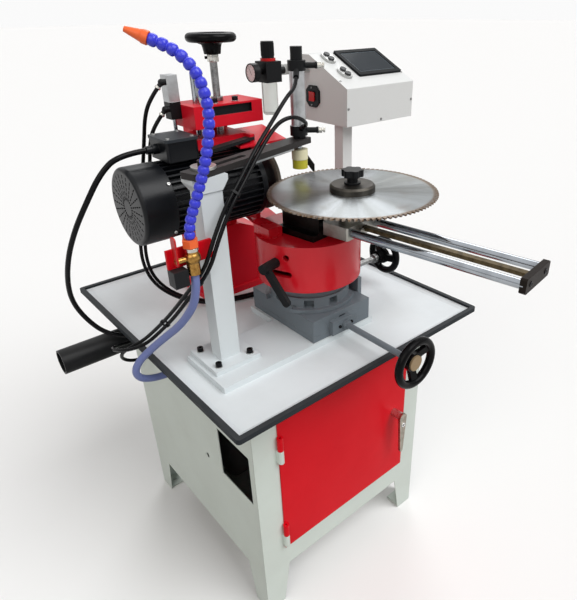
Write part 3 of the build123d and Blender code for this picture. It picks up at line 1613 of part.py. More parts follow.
def led_out(root, face):
    """First two points of a cord that comes straight out of a face, away from its root."""
    way = (Vector(*face) - Vector(*root)).normalized()
    return tuple(face), tuple(Vector(*face) + way * cord_lead)


def to_wall(points):
    """Points of a cord, up to the cabinet's left wall."""
    return points + ((-side_x,) + points[-1][1:],)


def motor_cable():
    start = (gland_x - slip, head_y, gland_z)
    lead = (gland_x - slip - cable_lead, head_y, gland_z)
    return cord("motor_cable", (start, lead) + to_wall(cable_points), cable_r)


def stroke_hose(name, points, port):
    z = stroke_ports_z[port]
    face = (stroke_port_x, stroke_port_y, z - elbow_tip)
    start = led_out((stroke_port_x + elbow_tip, stroke_port_y, z), face)
    end = (cpost_x - cpost_w / 2,) + points[-1][1:]
    return cord(name, start + points + (end,), air_r)


def press_hose(name, points, root_and_face):
    return cord(name, led_out(*root_and_face) + to_wall(points), air_r)


def supply_hose():
    return cord("supply_hose", ((valve_x, valve_y, valve_z0),) + to_wall(supply_points), supply_r)


def cable_ties():
    """Bands round the two press hoses, where these run side by side."""
    bands = []
    for run, beside in zip(tied_runs, tied_beside):
        start, end = Vector(*run[0]), Vector(*run[1])
        middle = (start + end) / 2
        way = (end - start).normalized()
        across = Vector(*beside) - start
        across = across - way * across.dot(way)
        plane = Plane(middle + across / 2, x_dir=across, z_dir=way)
        inner = SlotCenterToCenter(across.length, 2 * (air_r + slip))
        outer = SlotCenterToCenter(across.length, 2 * (air_r + slip + tie_t))
        bands.append(extrude(plane * (outer - inner), tie_w / 2, both=True))
    return bands


pan = tray()
keep("cabinet_front", cabinet_front())
keep("cabinet_sides", cabinet_sides())
keep("door", door())
keep("lock_handle", lock_handle())
keep("tray", pan)
keep("tray_trim", tray_trim(pan))
keep("coolant_tank", *coolant_tank())
keep("drain_pipe", drain_pipe())
keep("bed_plate", bed_plate())
keep("column", column())
keep("fasteners", *fasteners())
keep("press_bar", *press_bar())
keep("press_cylinder", *press_cylinder())
keep("press_rod", *press_rod())
keep("feed_pawl", feed_pawl())
keep("slide_base", *slide_base())
keep("saddle", *saddle())
keep("top_slide", top_slide())
keep("front_handwheel", *front_handwheel())
keep("side_handwheel", *side_handwheel())
keep("drum", drum())
keep("clamp_lever", clamp_lever())
keep("slideway_plate", slideway_plate())
keep("slide_rods", *slide_rods())
keep("end_plate", end_plate())
keep("carriage", carriage())
keep("blade", blade())
keep("blade_flanges", *blade_flanges())
keep("star_knob", star_knob())
keep("pedestal", *pedestal())
keep("bridge", bridge())
keep("stroke_cylinder", *stroke_cylinder())
keep("head_carriage", *head_carriage())
keep("motor_body", motor_body())
keep("fan_cover", fan_cover())
keep("terminal_box", *terminal_box())
keep("spindle", *spindle())
keep("grinding_wheel", grinding_wheel())
keep("top_handwheel", *top_handwheel())
keep("box_post", box_post())
keep("control_box", *control_box())
keep("touch_panel", touch_panel())
keep("power_inlet", power_inlet())
keep("rocker_switch", rocker_switch())
keep("regulator", *regulator())
keep("regulator_knob", regulator_knob())
keep("coolant_valve", *coolant_valve())
keep("valve_lever", valve_lever())
for unit, v in zip("ab", button_v):
    for side, number in ((-1, 1), (1, 2)):
        keep(f"button_{unit}{number}", button(v, side))
keep("coolant_hose", *coolant_hose())
keep("motor_cable", motor_cable())
keep("stroke_hose_a", stroke_hose("stroke_hose_a", stroke_a_points, 1))
keep("stroke_hose_b", stroke_hose("stroke_hose_b", stroke_b_points, 0))
high_outlet = outlet(press_high_z, high_outlet_at, high_outlet_drop)
low_outlet = outlet(press_low_z, low_outlet_at, low_outlet_drop)
keep("press_hose_a", press_hose("press_hose_a", press_a_points, high_outlet))
keep("press_hose_b", press_hose("press_hose_b", press_b_points, low_outlet))
keep("supply_hose", supply_hose())
keep("cable_ties", *cable_ties())
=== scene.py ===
import math
import bmesh
import bpy
from mathutils import Matrix, Vector


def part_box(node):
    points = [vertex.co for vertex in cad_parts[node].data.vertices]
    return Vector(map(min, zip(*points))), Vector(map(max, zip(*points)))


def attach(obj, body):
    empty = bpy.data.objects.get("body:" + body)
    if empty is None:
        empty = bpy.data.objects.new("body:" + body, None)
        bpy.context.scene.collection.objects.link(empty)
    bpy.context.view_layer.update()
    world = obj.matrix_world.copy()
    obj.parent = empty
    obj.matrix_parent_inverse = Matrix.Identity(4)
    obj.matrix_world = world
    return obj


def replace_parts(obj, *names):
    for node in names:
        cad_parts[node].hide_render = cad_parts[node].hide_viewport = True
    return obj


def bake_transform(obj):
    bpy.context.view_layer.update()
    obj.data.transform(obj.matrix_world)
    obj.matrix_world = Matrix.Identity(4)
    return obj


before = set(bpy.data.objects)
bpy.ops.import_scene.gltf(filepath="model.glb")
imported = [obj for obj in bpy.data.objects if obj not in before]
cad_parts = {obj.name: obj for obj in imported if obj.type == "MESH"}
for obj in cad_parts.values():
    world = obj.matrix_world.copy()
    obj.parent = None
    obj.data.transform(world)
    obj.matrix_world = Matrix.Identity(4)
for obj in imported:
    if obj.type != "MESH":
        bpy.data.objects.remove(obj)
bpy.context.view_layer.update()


# Cabinet: front, sides, floor and legs of folded 2 mm sheet steel, spot welded and standing on four
# pads. It is powder coated off-white, with the fine orange peel and the light soiling of such a coat.
def tone(red, green, blue):
    """Colour in 8-bit values, as a shader takes it."""
    parts = [value / 255 for value in (red, green, blue)]
    return [p / 12.92 if p <= 0.04045 else ((p + 0.055) / 1.055) ** 2.4 for p in parts] + [1]


def shade(tree, kind, feeds, **settings):
    """Shader node with its settings, and its inputs set or linked."""
    node = tree.nodes.new("ShaderNode" + kind)
    for key, value in settings.items():
        setattr(node, key, value)
    for key, value in feeds.items():
        if isinstance(value, bpy.types.NodeSocket):
            tree.links.new(value, node.inputs[key])
        else:
            node.inputs[key].default_value = value
    return node


def noise(tree, place, size, detail=5.0):
    """Cloudy pattern of a size, as a value."""
    feeds = {"Vector": place, "Scale": size, "Detail": detail, "Roughness": 0.6}
    return shade(tree, "TexNoise", feeds).outputs["Fac"]


def stretch(tree, value, low, high, to_low=0.0, to_high=1.0):
    """Value between two limits, brought to two others and held there."""
    feeds = {"Value": value, "From Min": low, "From Max": high, "To Min": to_low, "To Max": to_high}
    return shade(tree, "MapRange", feeds).outputs["Result"]


def work(tree, operation, first, second):
    """Sum, product or the like of two values."""
    return shade(tree, "Math", {0: first, 1: second}, operation=operation).outputs["Value"]


def blend_tones(tree, amount, first, second):
    """Colour between two others."""
    return shade(tree, "Mix", {0: amount, 6: first, 7: second}, data_type="RGBA").outputs[2]


def effect(name, inputs, outputs):
    """Empty node group with named sockets, and its two end nodes' sockets."""
    kinds = {float: "NodeSocketFloat", list: "NodeSocketColor", tuple: "NodeSocketVector"}
    tree = bpy.data.node_groups.new(name, "ShaderNodeTree")
    for label, value in inputs.items():
        socket = tree.interface.new_socket(label, in_out="INPUT", socket_type=kinds[type(value)])
        socket.default_value = value
    for label, kind in outputs.items():
        tree.interface.new_socket(label, in_out="OUTPUT", socket_type=kinds[kind])
    return tree, tree.nodes.new("NodeGroupInput").outputs, tree.nodes.new("NodeGroupOutput").inputs


def give(tree, ends, **results):
    """Link a group's results to its outputs."""
    for label, socket in results.items():
        tree.links.new(socket, ends[label])


worn_edge, ask, end = effect(
    "worn edge", {"Radius": 0.0015, "Size": 90.0}, {"Normal": tuple, "Wear": float})
place = shade(worn_edge, "TexCoord", {}).outputs["Object"]
rounded = shade(worn_edge, "Bevel", {"Radius": ask["Radius"]}, samples=4).outputs["Normal"]
flat = shade(worn_edge, "NewGeometry", {}).outputs["Normal"]
agree = shade(worn_edge, "VectorMath", {0: rounded, 1: flat}, operation="DOT_PRODUCT").outputs["Value"]
patches = stretch(worn_edge, noise(worn_edge, place, ask["Size"]), 0.46, 0.66)
wear = work(worn_edge, "MULTIPLY", stretch(worn_edge, agree, 0.99, 0.8), patches)
give(worn_edge, end, Normal=rounded, Wear=wear)

coat_skin, ask, end = effect(
    "coat skin",
    {"Paint": [0.8, 0.8, 0.8, 1], "Soil": [0.3, 0.3, 0.3, 1], "Soiling": 0.2, "Chip": [0.3, 0.3, 0.3, 1],
     "Chipping": 0.3, "Gloss": 0.35, "Peel": 0.1, "Peel size": 700.0, "Edge": 0.0015},
    {"Colour": list, "Roughness": float, "Normal": tuple})
place = shade(coat_skin, "TexCoord", {}).outputs["Object"]
edges = shade(coat_skin, "Group", {}, node_tree=worn_edge)
coat_skin.links.new(ask["Edge"], edges.inputs["Radius"])
cloud = noise(coat_skin, place, 5.0)
soiled = work(coat_skin, "MULTIPLY", stretch(coat_skin, cloud, 0.42, 0.78), ask["Soiling"])
chipped = work(coat_skin, "MULTIPLY", edges.outputs["Wear"], ask["Chipping"])
colour = blend_tones(coat_skin, soiled, ask["Paint"], ask["Soil"])
colour = blend_tones(coat_skin, chipped, colour, ask["Chip"])
rough = work(coat_skin, "ADD", ask["Gloss"], stretch(coat_skin, cloud, 0.3, 0.7, -0.06, 0.08))
peel = noise(coat_skin, place, ask["Peel size"], 2.0)
bump = shade(coat_skin, "Bump", {"Strength": ask["Peel"], "Distance": 0.0008, "Height": peel,
                                 "Normal": edges.outputs["Normal"]})
give(coat_skin, end, Colour=colour, Roughness=rough, Normal=bump.outputs["Normal"])

surface = {"Colour": "Base Color", "Roughness": "Roughness", "Normal": "Normal"}


def finish(name, skin, values, **plain):
    """Material whose skin group feeds its shader, with the shader's own plain values."""
    material = bpy.data.materials.new(name)
    material.use_nodes = True
    tree = material.node_tree
    shader = tree.nodes["Principled BSDF"]
    group = shade(tree, "Group", {}, node_tree=skin)
    for label, value in values.items():
        group.inputs[label].default_value = value
    for label, socket in surface.items():
        tree.links.new(group.outputs[label], shader.inputs[socket])
    for label, value in plain.items():
        shader.inputs[label.replace("_", " ")].default_value = value
    return material


def painted(name, paint, soil, chip, gloss, shine=0.25, peel=0.12, peel_size=650.0, soiling=0.25,
            chipping=0.4, edge=0.0015):
    """Sprayed or powder coat, with the tones of its soiling and of its chipped edges."""
    values = {"Paint": tone(*paint), "Soil": tone(*soil), "Chip": tone(*chip), "Gloss": gloss,
              "Peel": peel, "Peel size": peel_size, "Soiling": soiling, "Chipping": chipping, "Edge": edge}
    return finish(name, coat_skin, values, Specular_IOR_Level=shine)


def dress(node, base, *spots):
    """Give a node its finish, and others to the faces that a test of centre and normal picks."""
    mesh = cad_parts[node].data
    mesh.materials.clear()
    for material in [base] + [spot for spot, test in spots]:
        mesh.materials.append(material)
    for face in mesh.polygons:
        face.material_index = 0
        for at, (spot, test) in enumerate(spots, 1):
            if test(face.center, face.normal):
                face.material_index = at


white_coat = painted("white powder coat", (211, 221, 215), (184, 188, 180), (130, 130, 126), 0.42,
                     shine=0.2)
dress("cabinet_front", white_coat)
dress("cabinet_sides", white_coat)


# Door: a red powder-coated leaf with a folded rim on two lift-off pin hinges. Its lock has a chromed
# spindle, a tapered nickel-plated handle with a key barrel, and a cam behind the front.
red_coat = painted("red powder coat", (216, 14, 30), (182, 12, 24), (90, 30, 30), 0.36, shine=0.08,
                   soiling=0.3)
zinc_skin, ask, end = effect(
    "zinc skin", {"Metal": [0.6, 0.6, 0.6, 1], "Dull": [0.4, 0.4, 0.4, 1], "Gloss": 0.3, "Size": 60.0,
                  "Lay": (1.0, 1.0, 1.0), "Score": 0.06, "Edge": 0.0008},
    {"Colour": list, "Roughness": float, "Normal": tuple})
place = shade(zinc_skin, "TexCoord", {}).outputs["Object"]
along = shade(zinc_skin, "VectorMath", {0: place, 1: ask["Lay"]}, operation="MULTIPLY").outputs["Vector"]
edges = shade(zinc_skin, "Group", {}, node_tree=worn_edge)
zinc_skin.links.new(ask["Edge"], edges.inputs["Radius"])
cloud = noise(zinc_skin, place, ask["Size"])
streak = noise(zinc_skin, along, 900.0, 3.0)
colour = blend_tones(zinc_skin, stretch(zinc_skin, cloud, 0.4, 0.75), ask["Metal"], ask["Dull"])
rough = work(zinc_skin, "ADD", ask["Gloss"], stretch(zinc_skin, streak, 0.25, 0.75, -0.07, 0.1))
bump = shade(zinc_skin, "Bump", {"Strength": ask["Score"], "Distance": 0.0003, "Height": streak,
                                 "Normal": edges.outputs["Normal"]})
give(zinc_skin, end, Colour=colour, Roughness=rough, Normal=bump.outputs["Normal"])


def metal(name, bright, dull, gloss, size=60.0, lay=(1.0, 1.0, 1.0), score=0.06, edge=0.0008):
    """Bare or plated metal, with dull clouds of a size and scores that run along its lay."""
    values = {"Metal": tone(*bright), "Dull": tone(*dull), "Gloss": gloss, "Size": size, "Lay": lay,
              "Score": score, "Edge": edge}
    return finish(name, zinc_skin, values, Metallic=1.0)


def skin_rings(mesh, rings, material):
    """Close a tube over rings of vertices."""
    for low, high in zip(rings, rings[1:]):
        for i in range(len(low)):
            j = (i + 1) % len(low)
            face = mesh.faces.new((low[i], low[j], high[j], high[i]))
            face.material_index = material
            face.smooth = True


def ring_at(mesh, centre, way, across, radius, sides):
    """Ring of vertices about a direction, the first of them straight across it."""
    other = way.cross(across)
    spots = []
    for i in range(sides):
        angle = 2 * math.pi * i / sides
        spots.append(mesh.verts.new(centre + radius * (math.cos(angle) * across + math.sin(angle) * other)))
    return spots


def lathe(mesh, root, way, profile, material=0, tip=None, sides=32):
    """Turned shape on a root point: its profile is (out, radius) in millimetres along a direction."""
    across = way.orthogonal().normalized()
    rings = []
    for out, radius in profile:
        rings.append(ring_at(mesh, root + way * (out / 1000), way, across, radius / 1000, sides))
    skin_rings(mesh, rings, material)
    mesh.faces.new(rings[0][::-1]).material_index = material
    mesh.faces.new(rings[-1]).material_index = material if tip is None else tip


def as_piece(name, mesh, *materials):
    """Scene object of a finished mesh, with its sharp edges marked."""
    mesh.normal_update()
    data = bpy.data.meshes.new(name)
    mesh.to_mesh(data)
    mesh.free()
    data.set_sharp_from_angle(angle=math.radians(38))
    for material in materials:
        data.materials.append(material)
    piece = bpy.data.objects.new(name, data)
    bpy.context.scene.collection.objects.link(piece)
    return piece


def fit(name, mesh, body, slot, *materials):
    """Finished piece that rides on a body."""
    piece = as_piece(name, mesh, *materials)
    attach(piece, body)
    return piece


chrome = metal("chrome plate", (214, 214, 214), (180, 180, 180), 0.26, size=30.0, score=0.02)
lever_nickel = metal("nickel-plated lever", (168, 160, 148), (120, 112, 100), 0.24, size=80.0)
# Dark metal standing in for the shade inside the keyhole and the screws' cross recesses: painted shade.
painted_recess_shade = metal("painted_recess_shade", (60, 58, 54), (40, 38, 36), 0.4)
sliver = 0.0002  # slack where faces are picked by their place
forward = Vector((0, -1, 0))
lever_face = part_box("lock_handle")[0][1]
lever_t = 0.007
lock_x, lock_z = 0.168, 0.412
barrel_drop = 0.022
barrel_shape = [(-1, 6.5), (1.6, 6.5), (2.2, 5.9), (2.2, 3.6), (1, 3.4)]
dress("door", red_coat)
dress("lock_handle", chrome, (lever_nickel, lambda at, way: at.y < lever_face + lever_t + sliver))
barrel = bmesh.new()
# The barrel's recessed end face takes the dark metal: painted shade of the keyhole.
lathe(barrel, Vector((lock_x, lever_face, lock_z - barrel_drop)), forward, barrel_shape, tip=1)
fit("lock_barrel", barrel, "lock_handle", "chrome", chrome, painted_recess_shade)


# Tray: a folded sheet pan with low sloping lips, coated in a pale grey, and a push-on rubber edge. The
# drain pipe is a black plastic tube that is flanged to the left side.
tray_coat = painted("pale tray coat", (222, 228, 231), (190, 194, 194), (150, 154, 156), 0.4, shine=0.12,
                    soiling=0.35)
moulded_skin, ask, end = effect(
    "moulded skin", {"Tint": [0.1, 0.1, 0.1, 1], "Dust": [0.3, 0.3, 0.3, 1], "Dusting": 0.2, "Gloss": 0.4,
                     "Grain": 0.1, "Grain size": 1500.0, "Edge": 0.001},
    {"Colour": list, "Roughness": float, "Normal": tuple})
coords = shade(moulded_skin, "TexCoord", {})
place = coords.outputs["Object"]
edges = shade(moulded_skin, "Group", {}, node_tree=worn_edge)
moulded_skin.links.new(ask["Edge"], edges.inputs["Radius"])
upward = shade(moulded_skin, "SeparateXYZ", {"Vector": coords.outputs["Normal"]}).outputs["Z"]
lying = stretch(moulded_skin, upward, 0.2, 1.0)
cloud = noise(moulded_skin, place, 22.0)
dusty = work(moulded_skin, "MULTIPLY", work(moulded_skin, "MULTIPLY", lying, ask["Dusting"]), cloud)
colour = blend_tones(moulded_skin, dusty, ask["Tint"], ask["Dust"])
rough = work(moulded_skin, "ADD", ask["Gloss"], stretch(moulded_skin, cloud, 0.3, 0.7, -0.06, 0.1))
grain = noise(moulded_skin, place, ask["Grain size"], 2.0)
bump = shade(moulded_skin, "Bump", {"Strength": ask["Grain"], "Distance": 0.0003, "Height": grain,
                                    "Normal": edges.outputs["Normal"]})
give(moulded_skin, end, Colour=colour, Roughness=rough, Normal=bump.outputs["Normal"])


def moulded(name, tint, gloss, shine=0.15, dust=(120, 120, 118), dusting=0.12, grain=0.1,
            grain_size=1500.0, edge=0.001, **plain):
    """Plastic or rubber with a moulded grain, and dust where it faces up."""
    values = {"Tint": tone(*tint), "Dust": tone(*dust), "Dusting": dusting, "Gloss": gloss,
              "Grain": grain, "Grain size": grain_size, "Edge": edge}
    return finish(name, moulded_skin, values, Specular_IOR_Level=shine, **plain)


edge_rubber = moulded("edge rubber", (38, 42, 46), 0.62, grain=0.3, dusting=0.2)
black_plastic = moulded("black plastic", (18, 19, 21), 0.36)
dress("tray", tray_coat)
dress("tray_trim", edge_rubber)
dress("drain_pipe", black_plastic)


# Coolant tank: a moulded grey plastic tank that stands on the cabinet's floor. The black pump motor is
# bolted on its lid.
tank_plastic = moulded("tank plastic", (150, 156, 158), 0.45)
motor_black = painted("motor paint", (13, 15, 19), (28, 30, 34), (120, 122, 124), 0.32, shine=0.22,
                      peel=0.16, peel_size=420.0, soiling=0.4, chipping=0.2)
tank_top = 0.320
dress("coolant_tank", tank_plastic, (motor_black, lambda at, way: at.z > tank_top + sliver))


# Bed plate and column: a thick plate on the tray and a square steel post welded to its foot, both coated
# white. Black socket-head bolts with zinc washers hold the feet, the bridge and the press bar.
bolt_black = metal("black oxide", (40, 40, 42), (26, 26, 28), 0.42, size=160.0)
zinc = metal("zinc plate", (190, 191, 190), (150, 150, 146), 0.32)
column_coat = painted("column coat", (214, 221, 224), (188, 193, 195), (140, 143, 145), 0.42, shine=0.2,
                      soiling=0.2)
dress("bed_plate", column_coat)
dress("column", column_coat)
tray_top, bed_top, bar_top, bridge_top = 0.700, 0.716, 1.1139, 1.1909
washer_t, bar_washer_t = 0.0016, 0.005
washers = ((tray_top, washer_t), (bed_top, washer_t), (bridge_top, washer_t), (bar_top, bar_washer_t))


def is_washer(at, way):
    return any(seat < at.z < seat + thickness + sliver for seat, thickness in washers)


dress("fasteners", bolt_black, (zinc, is_washer))


# Cross slide: a cast base with a dovetail, a saddle across it and a round table on top. The castings are
# sprayed grey over sealed iron, with the corners rubbed through. Cap screws hold the bearing plate.
grey_cast = painted("grey casting paint", (114, 123, 130), (82, 88, 94), (150, 152, 152), 0.38, shine=0.2,
                    peel=0.3, peel_size=260.0, soiling=0.5, chipping=0.6, edge=0.002)
dress("slide_base", grey_cast)
dress("saddle", grey_cast)
dress("top_slide", grey_cast)


def cap_screw(mesh, root, way, radius):
    """Socket head of a radius in millimetres, standing on a point."""
    profile = [(-1, radius), (0.75 * radius, radius), (radius, 0.84 * radius), (radius, 0.52 * radius),
               (0.4 * radius, 0.5 * radius)]
    lathe(mesh, root, way, profile, sides=24)


bearing_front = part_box("slide_base")[0][1]
front_x, front_z = 0.027, 0.728
slide_screw_spread, slide_screw_r = 0.018, 3.6
slide_screws = bmesh.new()
for side in (-slide_screw_spread, slide_screw_spread):
    cap_screw(slide_screws, Vector((front_x + side, bearing_front, front_z)), forward, slide_screw_r)
fit("slide_screws", slide_screws, "frame", "dark_steel", bolt_black)


# Handwheels: black bakelite rims on three spokes, with a tan cap pressed in the hub, pinned to the ends
# of the front, side and lifting screws. The upper one has a flared hub and a nickel collar under it.
turned = metal("turned steel", (150, 150, 150), (100, 100, 98), 0.26, score=0.08)
bakelite = moulded("bakelite", (9, 9, 10), 0.2, shine=0.08, grain=0.02, dusting=0.0)
hub_cap = moulded("hub cap", (150, 128, 96), 0.4, shine=0.3)
nickel = metal("nickel", (206, 204, 198), (160, 158, 150), 0.2, size=80.0, edge=0.0)
sideways = Vector((1, 0, 0))
upright = Vector((0, 0, 1))
wheel_t, cap_t, cap_r, shank_gap = 0.031, 0.0009, 0.0175, 0.0004
front_hub = Vector((front_x, -0.437, front_z))
side_hub = Vector((0.255, -0.133, 0.7816))
top_hub = Vector((-0.066, 0.048, 1.2829))


def dress_wheel(node, hub, way, shank):
    """Finish a handwheel whose hub has its back at a point, and the shank behind it."""
    def is_shank(at, face_way):
        return (at - hub).dot(way) < -shank_gap

    def is_cap(at, face_way):
        out = (at - hub).dot(way)
        return out > wheel_t - cap_t and (at - hub - out * way).length < cap_r

    dress(node, bakelite, (shank, is_shank), (hub_cap, is_cap))


dress_wheel("front_handwheel", front_hub, forward, grey_cast)
dress_wheel("side_handwheel", side_hub, sideways, turned)
dress_wheel("top_handwheel", top_hub, upright, turned)
skirt_black = moulded("skirt black", (9, 9, 10), 0.24, shine=0.08, dusting=0.0, edge=0.0)
skirt_shape = [(-0.3, 16.8), (0.3, 17.4), (12, 19.2), (20, 21.4), (26, 24), (27, 23.6)]
top_collar_shape = [(-0.5, 11.4), (0.6, 11.9), (14, 11.9), (15, 11.2)]
set_screw_shape = [(0, 3), (5, 3), (5.6, 2.6), (5.6, 1.5), (4, 1.4)]
set_way, set_drop, set_in = Vector((-0.749, 0.663, 0)), 0.007, 0.0112
skirt = bmesh.new()
lathe(skirt, top_hub, upright, skirt_shape, sides=48)
lathe(skirt, top_hub, -upright, top_collar_shape, 1, sides=48)
lathe(skirt, top_hub - set_drop * upright + set_in * set_way, set_way, set_screw_shape)
fit("wheel_skirt", skirt, "top_handwheel", "black_plastic", skirt_black, nickel)
side_collar_shape = [(-0.5, 9), (0.4, 9.6), (7.6, 9.6), (8, 8.8)]
side_collar = bmesh.new()
lathe(side_collar, side_hub, -sideways, side_collar_shape)
fit("side_collar", side_collar, "side_handwheel", "chrome", nickel)


# Swivel drum: a thick-walled casting turned on the outside and sprayed glossy red, with a slot, a peep
# hole and a black cast clamp lever. It carries the slideway.
red_gloss = painted("red gloss paint", (220, 24, 40), (190, 18, 30), (96, 60, 58), 0.22, shine=0.4,
                    peel=0.08, peel_size=300.0, soiling=0.4, chipping=0.4, edge=0.002)
lever_black = moulded("lever black", (24, 25, 27), 0.4, grain=0.3, grain_size=500.0)
dress("drum", red_gloss)
dress("clamp_lever", lever_black)


# Blade slideway: a blackened plate on the drum holds two hard-chromed rods and a plain flat rail that has
# gone brown. A dark plate is screwed across their ends, and the blade's carriage runs along them.
gun_black = metal("gun black", (40, 39, 38), (28, 27, 26), 0.4, size=40.0, score=0.1)
rod_chrome = metal("rod chrome", (168, 173, 179), (140, 144, 149), 0.08, size=20.0, lay=(1.0, 0.05, 1.0),
                   score=0.02)
rail_brown = metal("brown rail", (98, 86, 64), (54, 46, 34), 0.5, size=90.0, lay=(1.0, 0.1, 1.0), score=0.2)
end_brown = painted("end plate paint", (34, 29, 26), (28, 24, 22), (84, 76, 68), 0.45, shine=0.08, peel=0.3,
                    peel_size=300.0)
milled = metal("milled block", (160, 158, 152), (126, 122, 114), 0.34, size=40.0, score=0.1)
blade_x, blade_y, rod_z = 0.060, -0.244, 0.9569
swing = math.radians(8)
way_x = Vector((math.cos(swing), math.sin(swing), 0))
way_y = Vector((-math.sin(swing), math.cos(swing), 0))
rail_half = 0.0085
end_reach, end_screw_spread = 0.406, 0.032
end_screw_shape = [(-1, 5.4), (1, 5.4), (1.6, 4.8), (1.6, 2.8), (0.3, 2.6)]


def across_way(at):
    """How far a point lies to the side of the slideway's middle."""
    return (at.x - blade_x) * way_x.x + (at.y - blade_y) * way_x.y


dress("slideway_plate", gun_black)
dress("slide_rods", rod_chrome, (rail_brown, lambda at, way: abs(across_way(at)) < rail_half))
dress("end_plate", end_brown)
dress("carriage", milled)
end_screws = bmesh.new()
for side in (-end_screw_spread, end_screw_spread):
    spot = Vector((blade_x, blade_y, rod_z)) + side * way_x - end_reach * way_y
    lathe(end_screws, spot, -way_y, end_screw_shape, sides=24)
fit("end_screws", end_screws, "swivel", "dark_steel", bolt_black)


# Saw blade: a ground steel disc with 100 teeth, its tooth rim stained brown, held between two blackened
# flanges by a black star knob on the arbor's thread.
def from_axis(tree, place, centre, plane):
    """Way from an axis to the shaded point, in the plane across it, and its length."""
    middle = shade(tree, "VectorMath", {0: place, 1: centre}, operation="SUBTRACT").outputs["Vector"]
    plan = shade(tree, "VectorMath", {0: middle, 1: plane}, operation="MULTIPLY").outputs["Vector"]
    return plan, shade(tree, "VectorMath", {0: plan}, operation="LENGTH").outputs["Value"]


blade_skin, ask, end = effect(
    "blade skin", {"Steel": [0.6, 0.6, 0.6, 1], "Dull": [0.4, 0.4, 0.4, 1], "Stain": [0.3, 0.2, 0.1, 1],
                   "Rim": 0.16},
    {"Colour": list, "Roughness": float, "Normal": tuple})
place = shade(blade_skin, "TexCoord", {}).outputs["Object"]
plan, reach = from_axis(blade_skin, place, (blade_x, blade_y, 0), (1, 1, 0))
cloud = noise(blade_skin, place, 14.0)
fine = noise(blade_skin, place, 260.0)
rings = shade(blade_skin, "TexWave", {"Vector": plan, "Scale": 260.0, "Distortion": 2.0, "Detail": 2.0},
              wave_type="RINGS", rings_direction="SPHERICAL").outputs["Fac"]
rim = stretch(blade_skin, work(blade_skin, "SUBTRACT", reach, ask["Rim"]), 0.0, 0.006)
rim = work(blade_skin, "MULTIPLY", rim, stretch(blade_skin, fine, 0.3, 0.6, 0.45, 1.0))
burn = stretch(blade_skin, cloud, 0.58, 0.8, 0.0, 0.5)
bearing = shade(blade_skin, "VectorMath", {0: plan}, operation="NORMALIZE").outputs["Vector"]
sector = stretch(blade_skin, noise(blade_skin, bearing, 1.6, 4.0), 0.4, 0.62)
colour = blend_tones(blade_skin, sector, ask["Steel"], ask["Dull"])
colour = blend_tones(blade_skin, burn, colour, ask["Stain"])
colour = blend_tones(blade_skin, rim, colour, ask["Stain"])
ground = stretch(blade_skin, rings, 0.0, 1.0, 0.26, 0.36)
rough = work(blade_skin, "ADD", ground, work(blade_skin, "MULTIPLY", rim, 0.25))
bump = shade(blade_skin, "Bump", {"Strength": 0.05, "Distance": 0.0002, "Height": rings})
give(blade_skin, end, Colour=colour, Roughness=rough, Normal=bump.outputs["Normal"])
blade_tones = {"Steel": tone(172, 177, 180), "Dull": tone(136, 139, 138), "Stain": tone(112, 90, 68),
               "Rim": 0.163}
blade_steel = finish("blade steel", blade_skin, blade_tones, Metallic=1.0, Anisotropic=0.8,
                     Anisotropic_Rotation=0.25)
tree = blade_steel.node_tree
spin = shade(tree, "Tangent", {}, direction_type="RADIAL", axis="Z").outputs["Tangent"]
tree.links.new(spin, tree.nodes["Principled BSDF"].inputs["Tangent"])
flange_black = metal("flange black", (74, 71, 66), (52, 49, 46), 0.44, size=50.0, score=0.12, edge=0.0015)
dress("blade", blade_steel)
dress("blade_flanges", flange_black)
dress("star_knob", black_plastic)


# Pedestal, bridge and head: red castings. The head hangs on a dovetail behind the motor, with the sloping
# hood over the wheel, the black strap and the bright guide rods. The bridge's slot is painted black inside as
# painted shade.
red_cast = painted("red casting paint", (216, 22, 42), (176, 16, 30), (90, 40, 40), 0.34, shine=0.16,
                   peel=0.22, peel_size=320.0, soiling=0.35, chipping=0.4, edge=0.002)
arm_top = 1.1209
slot_low, slot_high = (-0.1052, 0.0001, 1.1687), (-0.0108, 0.0085, 1.1871)
strap_end, strap_back, strap_low, strap_high = 0.012, 0.016, 1.1078, 1.1160


# Faces inside the bridge's slot take the black lever finish: painted shade of the slot.
def is_painted_slot_shade(at, way):
    return all(low < value < high for low, value, high in zip(slot_low, at, slot_high))


def is_strap(at, way):
    return at.x < strap_end and at.y < strap_back and strap_low < at.z < strap_high


dress("pedestal", red_cast)
# The slot's inner faces are painted black as painted shade.
dress("bridge", red_cast, (lever_black, is_painted_slot_shade))
dress("head_carriage", red_cast, (lever_black, is_strap),
      (rod_chrome, lambda at, way: at.z > arm_top + sliver))


# Motor: a finned aluminium body in black paint with a steel fan cover held by four screws, and a terminal
# box with a dark grey lid and a cable gland. Its shaft carries the grinding wheel between two flanges.
lid_grey = moulded("lid grey", (48, 52, 57), 0.4, shine=0.2, grain=0.25, grain_size=700.0)
lid_z, lid_t = 1.1359, 0.006
head_y, head_z = 0.015, 1.0149
cover_r, cover_screw_x, cover_screw_r = 0.080, -0.249, 3.4
dress("motor_body", motor_black)
dress("fan_cover", motor_black)
dress("terminal_box", motor_black, (lid_grey, lambda at, way: at.z > lid_z - sliver),
      (zinc, lambda at, way: at.z > lid_z + lid_t + sliver))
dress("spindle", turned)
cover_screws = bmesh.new()
for turn in (38, -38, 142, -142):
    out = Vector((0, -math.cos(math.radians(turn)), math.sin(math.radians(turn))))
    cap_screw(cover_screws, Vector((cover_screw_x, head_y, head_z)) + cover_r * out, out, cover_screw_r)
fit("cover_screws", cover_screws, "head", "steel", zinc)
abrasive_skin, ask, end = effect(
    "abrasive skin", {"Body": [0.1, 0.1, 0.1, 1], "Grit": [0.2, 0.2, 0.2, 1], "Rim": 0.06},
    {"Colour": list, "Roughness": float, "Normal": tuple})
place = shade(abrasive_skin, "TexCoord", {}).outputs["Object"]
